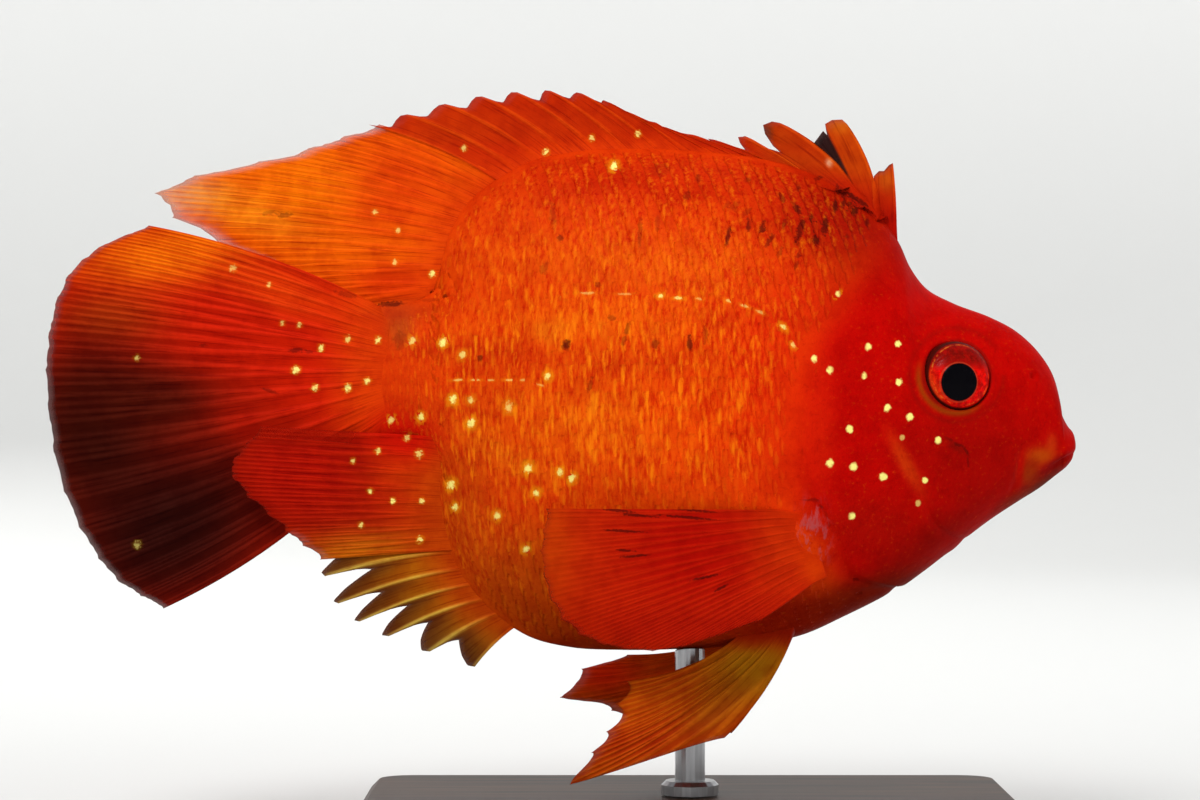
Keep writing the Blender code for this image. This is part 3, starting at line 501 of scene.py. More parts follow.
# The head's relief, by lines of photo pixels: gill cover edge, cheek ridge, mouth and folds.
face = {
    "gillEdge": [(826, 300), (829, 334), (818, 372), (810, 420), (806, 470), (811, 495), (826, 515),
                 (838, 533), (843, 558), (856, 577), (884, 586), (930, 590)],
    "scaleLimit": [(900, 214), (880, 262), (850, 310), (830, 340), (818, 372), (810, 420), (806, 470),
                   (811, 495), (838, 533), (843, 558), (856, 577), (884, 600), (900, 660)],
    "cheekRidge": [(893, 425), (903, 455), (914, 480), (925, 505), (934, 524), (950, 537), (985, 540)],
    "jawFold": [(1024, 440), (1021, 456), (1017, 480), (1008, 500)],
    "mouth": [(1086, 447), (1074, 452), (1062, 460), (1050, 467), (1041, 473)],
    "throatFold": [(842, 600), (870, 592), (905, 588), (940, 572), (975, 548)],
    # Ridges and grooves beside those lines: distance, half width, height in mm, and between which
    # shares of the line they come up and die away.
    "folds": {
        "cheekRidge": [(-9, 7, 0.2, 0, 0.2, 1, 0.75), (1, 2.6, -0.26, 0, 0.2, 1, 0.75)],
        "jawFold": [(0, 3, -0.26, 0, 0.2, 1, 0.8)],
        "throatFold": [(0, 3, -0.25, 0, 0.2, 1, 0.8)],
        "mouth": [(1, 13, 0.3, -1, 0, 1, 0.4), (21, 3, -0.3, -1, 0, 1, 0.4),
                  (0, 2.1, -0.114, -1, 0, 0.9, 0.5), (0, 2.1, -0.266, 0.2, 0.5, 0.9, 0.5)],
    },
    # The gill cover's height over its edge, how fast it comes up and fades, and the dip behind it.
    "coverHeight": 0.34, "coverRise": 4, "coverFade": 60, "dip": 0.2, "dipFade": 9,
    "nostril": (1034, 376), "nostrilRim": (5.5, 2.2, 0.07), "nostrilHole": (2.6, 0.6),
    "lobe": (817, 535, 26, 42, 0), "lobeHeight": 0.75, "scar": (813, 535, 17, 34, 0),
    "eyePlace": (956.5, 375), "headBorder": (-34, 10),
}
# The eye: centre, size and turn as in the solids; rims of the skin round it as radius, width and
# height; and its shades.
eye = {
    "centre": (37.7, 10.6, 69.1), "radius": 5.1, "halfDepth": 3.1, "turn": 17, "lift": 9,
    "pupil": (-0.6, -1.15), "pupilRadius": 2.66, "dip": 0.12, "rings": 90, "segments": 120,
    "rims": [(5.4, 0.5, 0.3), (6.8, 0.7, 0.1)], "hole": (5.1, 4.5), "sunk": 1.2,
    "around": 9, "behind": -3.5,  # how far round it, and how far in, the skin is moved
    "iris": (166, 4, 2), "irisLight": (250, 10, 3), "cloud": (70, 8, 4), "fleck": (216, 50, 8),
    "front": (204, 70, 14), "copper": (176, 66, 34), "rim": (206, 110, 34), "edge": (66, 12, 7),
    "black": (5, 4, 7),
}


def outlineAt(line, x):
    # Where the smooth line through a list of points lies at x.
    dense = smoothLine(line, 6000)
    return np.interp(x, dense[:, 0], dense[:, 1])


def bodyStations(count):
    # Even steps of a length that counts steep outline and the head for more.
    x = np.linspace(body["back"][0][0], body["back"][-1][0] - 0.004, 8000)
    slopes = [np.gradient(outlineAt(body[key], x), x) for key in ("back", "belly")]
    steep = np.minimum(slopes[0] ** 2 + slopes[1] ** 2, body["steepest"] ** 2)
    weight = np.sqrt(1 + 0.5 * steep) * (1 + body["headCrowd"] * rise(*body["headFrom"], x))
    travelled = np.cumsum(weight)
    return np.interp(np.linspace(travelled[0], travelled[-1], count), travelled, x)


def bodyGrid(x, turns):
    # Each station is a ring from keel to keel: y = half width * cos to the keel's power, z = middle
    # + height above or below it * sin. Along the fins' bases y is held under a wedge that opens
    # ever faster with the distance d from the side view's outline, by (y^-4 + wedge^-4)^(-1/4).
    back, belly, half = (outlineAt(body[key], x) for key in ("back", "belly", "half"))
    middle = belly + body["widest"] * (back - belly)
    side, up = np.cos(turns), np.sin(turns)
    keel = np.where(up > 0, body["backKeel"], body["bellyKeel"])
    out = np.abs(side) ** keel * half[:, None]
    height = np.where(up > 0, (back - middle)[:, None], (middle - belly)[:, None])
    z = middle[:, None] + height * up
    flat = np.stack([np.repeat(x[:, None], len(turns), axis=1), z], axis=2)
    toBack, _ = lineOffset(flat, body["back"][slice(*body["dorsalBase"])], 90)
    toBelly, _ = lineOffset(flat, body["belly"][slice(*body["analBase"])], 70)
    rear, above = rise(*body["rearFrom"], x)[:, None], rise(*body["aboveFrom"], x)[:, None]
    slope = body["backWedge"] + (body["rearWedge"] - body["backWedge"]) * rear
    for distance, share, slant in ((toBack, above, slope), (toBelly, rear, body["rearWedge"])):
        distance = np.abs(distance)
        wedge = body["edge"] + slant * distance * (1 + distance / body["wedgeRange"])
        held = (np.maximum(out, 0.001) ** -4 + wedge ** -4) ** -0.25
        out = out + share * (np.minimum(held, out) - out)
    return np.stack([flat[..., 0], np.sign(side) * out, z], axis=2)


def eyeFrame(side):
    # The eye's centre and its own axes: outwards, forwards and up, turned forwards and lifted.
    turn, lift = math.radians(eye["turn"]), math.radians(eye["lift"])
    x, y, z = eye["centre"]
    forward = np.array([math.cos(turn), -side * math.sin(turn), 0.0])
    out = np.array([math.sin(turn) * math.cos(lift), side * math.cos(turn) * math.cos(lift),
                    math.sin(lift)])
    return np.array([x, side * y, z]), out, forward, np.cross(out, forward) * -side


def faceRelief(places):
    # Height over the smooth body, in mm: the gill cover's step, which fades by e to the power of
    # minus (distance / fade), a bell for every fold, a ringed hole and the pectoral fin's lobe.
    gill, along = lineOffset(places, face["gillEdge"])
    proud = np.exp(-np.maximum(gill, 0) / face["coverFade"]) * rise(0, face["coverRise"], gill)
    dip = np.exp(np.minimum(gill, 0) / face["dipFade"])
    shown = rise(0.0, 0.3, along) * rise(1.0, 0.86, along) * (0.45 + 0.55 * rise(0.3, 0.6, along))
    height = shown * np.where(gill > 0, face["coverHeight"] * proud, -face["dip"] * dip)
    for name, folds in face["folds"].items():
        distance, along = lineOffset(places, face[name])
        for away, width, tall, comes, full, ends, fades in folds:
            shown = rise(comes, full, along) * rise(ends, fades, along)
            height = height + tall * bell(distance - away, width) * shown
    away = np.hypot(places[..., 0] - face["nostril"][0], places[..., 1] - face["nostril"][1])
    radius, width, tall = face["nostrilRim"]
    height = height + tall * bell(away - radius, width)
    width, deep = face["nostrilHole"]
    return height - deep * bell(away, width) + face["lobeHeight"] * softSpot(places, face["lobe"], 3)


def makeBody():
    # The body's ring grid moved out by the face's relief, sunk round the eyes and rimmed there.
    x = bodyStations(body["stations"])
    even = -math.pi / 2 + 2 * math.pi * np.arange(body["sides"]) / body["sides"]
    turns = even - 0.25 * np.sin(2 * even)
    smooth = bodyGrid(x, turns)
    places = photoPlace(smooth)
    limit, _ = lineOffset(places, face["scaleLimit"])
    inset = body["coatDepth"] * rise(*body["scalesFrom"], limit) + body["skinDepth"]
    inset = np.minimum(inset, 0.4 * np.abs(smooth[..., 1]) + 0.02)
    grid = smooth + sideNormals(smooth) * (faceRelief(places) - inset)[..., None]
    for side in (-1, 1):
        centre, out, forward, up = eyeFrame(side)
        depth, ahead, above = ((grid - centre) @ axis for axis in (out, forward, up))
        radius = np.hypot(ahead, above)
        rim = sum(tall * bell(radius - size, width) for size, width, tall in eye["rims"])
        plunge = rise(*eye["hole"], radius)
        moved = depth * (1 - plunge) - eye["sunk"] * plunge + rim
        near = (depth > eye["behind"]) & (radius < eye["around"])
        grid = np.where(near[..., None], grid + (moved - depth)[..., None] * out, grid)
    return x, grid


bodyX, skinGrid = makeBody()
skinNormals = sideNormals(skinGrid)
print("body worked out", skinGrid.shape)


def bodyTone(places):
    # The patches over the head's red and the flank's orange, which meet softly at the scales' limit.
    limit, _ = lineOffset(places, face["scaleLimit"])
    base = np.asarray(bodyPaint["base"], float)
    start = laidOver(base, bodyPaint["head"], rise(*face["headBorder"], limit))
    return bodyPaint["gain"] * painted(places, bodyPaint, start)


def sideMarks(points, places, centres=None, reach=1.15):
    # Each side's own pale and dark marks, for the points of that side.
    right = points[..., 1:2] < 0
    found = [nearestMark(places, entries, centres, reach)
             for entries in (paleEntries, leftPale, marks["dark"], leftDark)]
    return np.where(right, found[0], found[1]), np.where(right, found[2], found[3])


# The flesh's finish, and the shades of its marks, of skin and scales, of the lids and the scar and of the
# scales' streaks. The dark for the eye's groove is painted shade.
flesh = {"roughness": 0.55, "shine": 0.015}
shades = {
    "dark": (54, 8, 5), "halo": (238, 164, 16), "pale": (246, 234, 128),
    "cloud": (210, 120, 120), "fleck": (244, 84, 8), "speck": (196, 110, 100),
    "lid": (128, 66, 6), "grooveShade": (84, 12, 6), "scar": (158, 92, 98),
    "streak": (224, 84, 60), "dash": (250, 146, 12), "dashCloud": (246, 126, 8),
}


def paintMarks(finish, colour, wobble, core, halo=0.0):
    # Dark marks first, then the pale ones out to their core, with an orange halo round each.
    for name in ("dark", "pale"):
        a, b, strength = finish.parts(finish.attribute(name, "Vector"))
        distance = (a * a + b * b) ** 0.5 + wobble
        if name == "dark":
            colour = finish.mix(distance.rise(1.25, 0.55) * strength * 0.8, colour, shades["dark"])
        elif halo:
            colour = finish.mix(distance.rise(2.3, 0.6) * strength * halo, colour, shades["halo"])
    return finish.mix(distance.rise(core + 0.3, core - 0.3) * strength, colour, shades["pale"])


def mottled(finish, place):
    # The painted tone with soft clouds of a deeper red and fine specks of orange and dark red.
    tone = finish.attribute("tone", "Color")
    cloud = finish.noise(place, 0.28, 4.0, 0.6)
    speckle = finish.noise(place, 1.7, 4.0, 0.65)
    colour = finish.multiply(cloud.rise(0.62, 0.32) * 0.45, tone, shades["cloud"])
    colour = finish.mix(speckle.rise(0.56, 0.8) * 0.2, colour, shades["fleck"])
    return finish.multiply(speckle.rise(0.48, 0.26) * 0.4, colour, shades["speck"]), speckle


def skinFinish():
    # The mottled tone with its marks, the eye's lids with painted shade in their groove, and the lilac
    # strands of the scar, all pitted.
    finish = Finish("fishSkin", **flesh)
    place = finish.place()
    colour, _ = mottled(finish, place)
    colour = paintMarks(finish, colour, finish.noise(place, 1.8, 2.0) * 1.2 - 0.6, core=0.85)
    ochre, groove, scar = finish.parts(finish.attribute("lidTone", "Vector"))
    colour = finish.mix(ochre, colour, shades["lid"])
    # Painted shade in the groove round the eye.
    colour = finish.mix(groove, colour, shades["grooveShade"])
    strands = finish.noise(finish.place(scale=(1.2, 1.2, 0.3), turn=(0, -30, 0)), 1.0, 4.0, 0.6)
    colour = finish.mix(scar * strands.rise(0.47, 0.62), colour, shades["scar"])
    dimple = finish.cells(place, 1.15)
    height = finish.noise(place, 1.6, 4.0, 0.6) * 0.6 - dimple * 0.5
    return finish.done(colour, height, 0.3, 0.0002)


def lidTones(places):
    # Shares of ochre round the eye's rear and lower rim, of dark in its groove (painted shade) and in a
    # faint ring further out, and of lilac on the scar.
    across, down = places[..., 0] - face["eyePlace"][0], face["eyePlace"][1] - places[..., 1]
    radius, angle = np.hypot(across, down), np.degrees(np.arctan2(down, across)) % 360
    ochre = 0.55 * bell(radius - 38, 2.8) * rise(150, 190, angle) * rise(320, 280, angle)
    groove = 0.5 * rise(36.5, 34, radius) + 0.25 * bell(radius - 47, 2.4) * rise(20, 60, angle)
    return np.stack([ochre, groove * (radius < 60), 0.42 * softSpot(places, face["scar"], 4)], axis=-1)


def makeSkin():
    # The ring grid, closed by one point at the tail end and one at the lips.
    points = np.vstack([skinGrid.reshape(-1, 3), skinGrid[0].mean(axis=0), skinGrid[-1].mean(axis=0)])
    places = photoPlace(points)
    pale, dark = sideMarks(points, places)
    values = {"tone": linear(bodyTone(places)), "pale": pale, "dark": dark, "lidTone": lidTones(places)}
    skin = meshPiece("fishSkin", points, ringFaces(*skinGrid.shape[:2], poles=2), skinFinish(), values)
    dress(skin, "skin", "head", "upper_jaw", "lower_jaw", "gill_cover_right", "gill_cover_left",
          "trunk", "caudal_peduncle")


makeSkin()

# Scales: plates in staggered rows that follow the skin, each with its root under the ones ahead.
coat = {
    "pitch": 1.84, "rowGap": 2.0, "length": 1.8, "width": 1.2, "thickness": 0.02, "arc": 0.12,
    "sizes": (0.95, 1.07), "turn": 0.12, "wobble": 0.04,  # sizes and lean, which vary at random
    "rootDepth": 0.018, "lift": 0.026, "calmLift": 0.024, "edgeDrop": 0.026,
    "slant": 6.0, "shrink": 0.35, "rearEnd": -46.0, "frontEnd": 30.5, "margin": 0.3,
    "rows": 36, "leanRows": 24, "span": (-52, 34), "chart": 64,  # rows to a side, and their reach
    "headCalm": (0, -70), "tailCalm": (-46, -28),
    "dashes": (590, 410, 240, 150, 0), "throat": (740, 590, 230, 105, 0, 0.9),
    "markReach": 6.0, "patch": 0.003,
}
# A plate's own grid: u from root to rear edge, w across it.
plateU, plateW = np.meshgrid([0.0, 0.42, 0.68, 0.86, 1.0], [-1.0, -0.55, 0.0, 0.55, 1.0], indexing="ij")


def flankChart(side):
    # One flank laid out by x and by the distance round the section from its widest line: those
    # distances, the place and normal at each, and where the two keels lie.
    half = body["sides"] // 2
    order = np.arange(half + 1) if side > 0 else (-np.arange(half + 1)) % body["sides"]
    points, normals = skinGrid[:, order], skinNormals[:, order]
    steps = np.linalg.norm(np.diff(points, axis=1), axis=2)
    arc = np.concatenate([np.zeros((len(points), 1)), np.cumsum(steps, axis=1)], axis=1)
    arc -= arc[:, half // 2][:, None]
    reach = np.arange(-coat["chart"], coat["chart"] + 0.01, 0.25)
    rows = [np.stack([np.interp(reach, arc[i], layer[i, :, k]) for layer in (points, normals)
                      for k in range(3)], axis=1) for i in range(len(points))]
    return reach, np.stack(rows), arc[:, 0], arc[:, -1]


def onChart(chart, x, reach):
    # Straight interpolation between the chart's four nearest points, for places and normals alike.
    steps, rows = chart[0], chart[1]
    i = np.interp(x, bodyX, np.arange(len(bodyX)))
    j = np.clip((reach - steps[0]) / (steps[1] - steps[0]), 0, len(steps) - 1.001)
    i0 = np.clip(i.astype(int), 0, len(bodyX) - 2)
    j0 = j.astype(int)
    fi, fj = (i - i0)[..., None], (j - j0)[..., None]
    found = ((1 - fi) * ((1 - fj) * rows[i0, j0] + fj * rows[i0, j0 + 1])
             + fi * ((1 - fj) * rows[i0 + 1, j0] + fj * rows[i0 + 1, j0 + 1]))
    normal = found[..., 3:]
    return found[..., :3], normal / np.maximum(np.linalg.norm(normal, axis=-1), 1e-9)[..., None]


def scaleRoots(chart):
    # Rows lie at even distances round the body and draw together towards the tail; every second
    # row is moved half a scale along, and the columns lean forwards as they rise.
    low, high = chart[2], chart[3]
    girth = high - low
    size = (girth / girth.max()) ** coat["shrink"]
    dense = np.linspace(*coat["span"], 3000)
    steps = np.diff(dense) / (coat["pitch"] * np.interp(dense[1:], bodyX, size))
    count = np.concatenate([[0], np.cumsum(steps)])
    rows = np.arange(-coat["rows"], coat["rows"] + 1)
    row, column = np.meshgrid(rows, np.arange(0, int(count[-1])), indexing="ij")
    lean = row / coat["leanRows"]
    x = np.interp(column + 0.5 * (row % 2), count, dense) + coat["slant"] * lean * np.abs(lean)
    local = np.interp(x, bodyX, size)
    reach = row * coat["rowGap"] * local
    kept = (x > coat["rearEnd"]) & (x < coat["frontEnd"])
    kept &= reach > np.interp(x, bodyX, low) + coat["margin"]
    kept &= reach < np.interp(x, bodyX, high) - coat["margin"]
    x, reach, local = x[kept], reach[kept], local[kept]
    place = photoPlace(onChart(chart, x, reach)[0])
    limit, _ = lineOffset(place, face["scaleLimit"])
    kept = (limit < -2) & (np.hypot(*inMark(place, face["lobe"])) > 0.8)
    return x[kept], reach[kept], local[kept]


def plateFaces(side):
    # The rim round the plate's grid, the grid's quads with those down from the rim to the edge of
    # the underside, whose points follow the grid's, and the underside; all face outwards.
    order = np.arange(plateU.size).reshape(plateU.shape)
    rim = np.concatenate([order[:, 0], order[-1, 1:], order[-2::-1, -1], order[0, -2:0:-1]])
    under = plateU.size + np.arange(len(rim))
    quads = np.stack([order[:-1, :-1], order[:-1, 1:], order[1:, 1:], order[1:, :-1]], axis=-1)
    strip = np.stack([rim, under, np.roll(under, -1), np.roll(rim, -1)], axis=1)
    return rim, np.concatenate([quads.reshape(-1, 4), strip])[:, ::side], under[::side]


def makeCoat(name, side):
    # Each plate is the grid grown, turned and laid on the flank's chart. It lifts off the skin in
    # proportion to u, least near the keels, and drops at its two sides by w squared.
    chart = flankChart(side)
    x, reach, size = scaleRoots(chart)
    count = len(x)
    grow = (size * rng.uniform(*coat["sizes"], count))[:, None, None]
    turn = (rng.normal(0, coat["wobble"], count) + coat["turn"])[:, None, None]
    length, width = coat["length"] * coat["pitch"], coat["width"] * coat["rowGap"]
    along = length * plateU * (1 - coat["arc"] * plateW ** 2 * plateU) * grow
    across = width * plateW * (0.84 + 0.16 * np.sin(math.pi * np.minimum(plateU * 1.1, 1))) * grow
    px = x[:, None, None] - (along * np.cos(turn) + across * np.sin(turn))
    pr = reach[:, None, None] + across * np.cos(turn) - along * np.sin(turn)
    surface, normal = onChart(chart, px, pr)
    low, high = np.interp(px, bodyX, chart[2]), np.interp(px, bodyX, chart[3])
    keel = np.clip(np.minimum(pr - low, high - pr) / 3.0, 0.15, 1)
    # Calm is 0 near the head, on the throat and at the tail's root, where the scales lie flat.
    centres = photoPlace(onChart(chart, x - 0.7 * length * size, reach)[0])
    limit, _ = lineOffset(centres, face["scaleLimit"])
    throat = coat["throat"][5] * softSpot(centres, coat["throat"], 3)
    calm = rise(*coat["headCalm"], limit) * rise(*coat["tailCalm"], x) * (1 - throat)
    lift = coat["lift"] + coat["calmLift"] * calm[:, None, None]
    height = lift * plateU * keel - coat["edgeDrop"] * plateW ** 2 - coat["rootDepth"]
    rim, quads, under = plateFaces(side)
    top = (surface + normal * height[..., None]).reshape(count, -1, 3)
    edge = top[:, rim] - normal.reshape(count, -1, 3)[:, rim] * coat["thickness"]
    points = np.concatenate([top, edge], axis=1)
    each = points.shape[1]
    step = np.arange(count)[:, None] * each
    faces = (quads[None] + step[..., None]).reshape(-1, 4).tolist() + (under + step).tolist()
    own = np.stack([plateU.ravel(), plateW.ravel()], axis=1)
    own = np.concatenate([own, own[rim]])
    chance = rng.random(count) * (calm * (0.3 + 0.7 * softSpot(centres, coat["dashes"], 2.6)))
    scalePlace = np.column_stack([np.tile(own, (count, 1)), np.repeat(chance, each)])
    places = photoPlace(points)
    pale, dark = sideMarks(points, places, centres, coat["markReach"])
    values = {"tone": linear(bodyTone(places.reshape(-1, 2))), "scalePlace": scalePlace,
              "pale": pale.reshape(-1, 3), "dark": dark.reshape(-1, 3), "calm": np.repeat(calm, each)}
    piece = meshPiece(name, points.reshape(-1, 3), faces, scaleMaterial, values)
    # In the UV map each scale is a small patch at its root's place on the flank laid out flat.
    rootU = 0.05 + 0.9 * (x - bodyX[0]) / (bodyX[-1] - bodyX[0])
    rootV = 0.05 + 0.9 * (reach + 50) / 100
    layout = np.stack([rootU, rootV], axis=1)[:, None] + own * (coat["patch"], coat["patch"] / 2)
    corners = np.zeros(len(piece.data.loops), np.int32)
    piece.data.loops.foreach_get("vertex_index", corners)
    flat = layout.reshape(-1, 2)[corners].ravel()
    piece.data.uv_layers.new(name="OFBake").data.foreach_set("uv", flat)
    dress(piece, "skin")


def scaleFinish():
    # The mottled tone with steep red streaks and, on the scales' bare parts, orange dashes.
    finish = Finish("fishScales", **flesh)
    place = finish.place()
    calm = finish.attribute("calm")
    u, w, chance = finish.parts(finish.attribute("scalePlace", "Vector"))
    colour, speckle = mottled(finish, place)
    streak = finish.noise(finish.place(scale=(1.9, 1.9, 0.4), turn=(0, 20, 0)), 1.0, 4.0, 0.65)
    colour = finish.multiply(streak.rise(0.52, 0.3) * calm * 0.7, colour, shades["streak"])
    dash = (u + w * 0.07).bell(0.84, 0.13) * w.bell(0.0, 1.2) * (chance + 0.06)
    colour = finish.mix(dash * streak.rise(0.32, 0.6) * 0.5, colour, shades["dash"])
    colour = finish.mix(streak.rise(0.46, 0.72) * chance * 0.7, colour, shades["dashCloud"])
    colour = paintMarks(finish, colour, speckle * 2.0 - 1.0, core=0.7, halo=0.5)
    return finish.done(colour, speckle, 0.2, 0.0002)


scaleMaterial = scaleFinish()
makeCoat("scalesRight", -1)
makeCoat("scalesLeft", 1)


def eyeFinish():
    # Red iris with darker and lighter clouds, a copper ring round the pupil and one at the margin.
    finish = Finish("fishEye", roughness=0.3, coat=0.012, coatRoughness=0.03, shine=0.03)
    gazeX, gazeZ, outer = finish.parts(finish.attribute("gaze", "Vector"))
    radius = (gazeX * gazeX + gazeZ * gazeZ) ** 0.5
    pupil = eye["pupilRadius"]
    place = finish.place()
    mottle = finish.noise(place, 1.1, 4.0, 0.65)
    fine = finish.noise(place, 4.0, 3.0, 0.6)
    front = (mottle * 2.0 - gazeX - gazeZ * 0.4).rise(3.4, 5.0)
    colour = finish.mix(mottle.rise(0.35, 0.7), eye["iris"], eye["irisLight"])
    colour = finish.mix((gazeZ + mottle * 2.4).rise(2.6, 4.4) * 0.7, colour, eye["cloud"])
    colour = finish.mix(fine.rise(0.55, 0.75) * 0.25, colour, eye["fleck"])
    colour = finish.mix(front * 0.45, colour, eye["front"])
    colour = finish.mix(radius.bell(pupil + 0.12, 0.15) * 0.6, colour, eye["copper"])
    ring = outer.bell(4.36, 0.14) * mottle.rise(0.48, 0.62)
    colour = finish.mix(ring * 0.7, colour, eye["rim"])
    colour = finish.mix(outer.rise(4.5, 4.75), colour, eye["edge"])
    colour = finish.mix(radius.rise(pupil + 0.04, pupil - 0.06), colour, eye["black"])
    return finish.done(colour, fine, 0.15, 0.0001)


def makeEye(name, side, node):
    # An ellipsoid about the eye's axis; its front is sunk a little over the iris and stands out
    # again at the pupil's edge.
    centre, out, forward, up = eyeFrame(side)
    polar = np.linspace(0, math.pi, eye["rings"])[1:-1, None]
    angle = 2 * math.pi * np.arange(eye["segments"]) / eye["segments"]
    ahead = eye["radius"] * np.sin(polar) * np.cos(angle)
    above = eye["radius"] * np.sin(polar) * np.sin(angle)
    depth = eye["halfDepth"] * np.cos(polar) + 0 * ahead
    radius = np.hypot(ahead - eye["pupil"][0], above - eye["pupil"][1])
    pupil = rise(eye["pupilRadius"] - 0.05, eye["pupilRadius"] + 0.1, radius)
    depth = depth - np.where(depth > 0, eye["dip"] * rise(4.4, 4.0, radius) * pupil, 0)
    grid = centre + depth[..., None] * out + ahead[..., None] * forward + above[..., None] * up
    tip = eye["halfDepth"] * out
    points = np.vstack([grid.reshape(-1, 3), centre + tip, centre - tip])
    faces = ringFaces(*grid.shape[:2], poles=2)
    if np.cross(forward, up) @ out < 0:
        faces = [face[::-1] for face in faces]
    ahead, above = (points - centre) @ forward, (points - centre) @ up
    gaze = [ahead - eye["pupil"][0], above - eye["pupil"][1], np.hypot(ahead, above)]
    values = {"gaze": np.stack(gaze, axis=1)}
    dress(meshPiece(name, points, faces, eyeMaterial, values), "eye", node)


eyeMaterial = eyeFinish()
makeEye("eyeRight", -1, "eye_right")
makeEye("eyeLeft", 1, "eye_left")

# Fins. What they share, unless a fin says otherwise: how its sideways bow runs, its columns and
# rows, thickness at root and tip, the flare into the body, how far the body's colour runs onto it,
# how deep its root is sunk, and how clear its margin is and from which share of a ray on.
finBasics = {
    "bow": (0.0, 0.0), "rise": 0.5, "perRay": 24, "rows": 80, "thick": (0.5, 0.2),
    "flare": (0.45, 5.2), "taper": 99, "blend": (14, 5), "sunk": 4, "frayed": 0, "spread": [(0, 1)],
    "lined": 0.7, "clear": (0.15, 0.9), "spiny": False, "mirrored": False, "left": False,
    "front": [(0, 0, 0, 0, 0, 0)],
}
# A spiny fin's membrane stands in lappets: how much of the notch is cut at shares of the way.
spine = {"spiny": True, "thick": (0.9, 0.3),
         "lappet": [(0, 0), (0.15, -0.06), (0.4, 0.3), (0.78, 1), (0.9, 0.75), (1, 0)]}
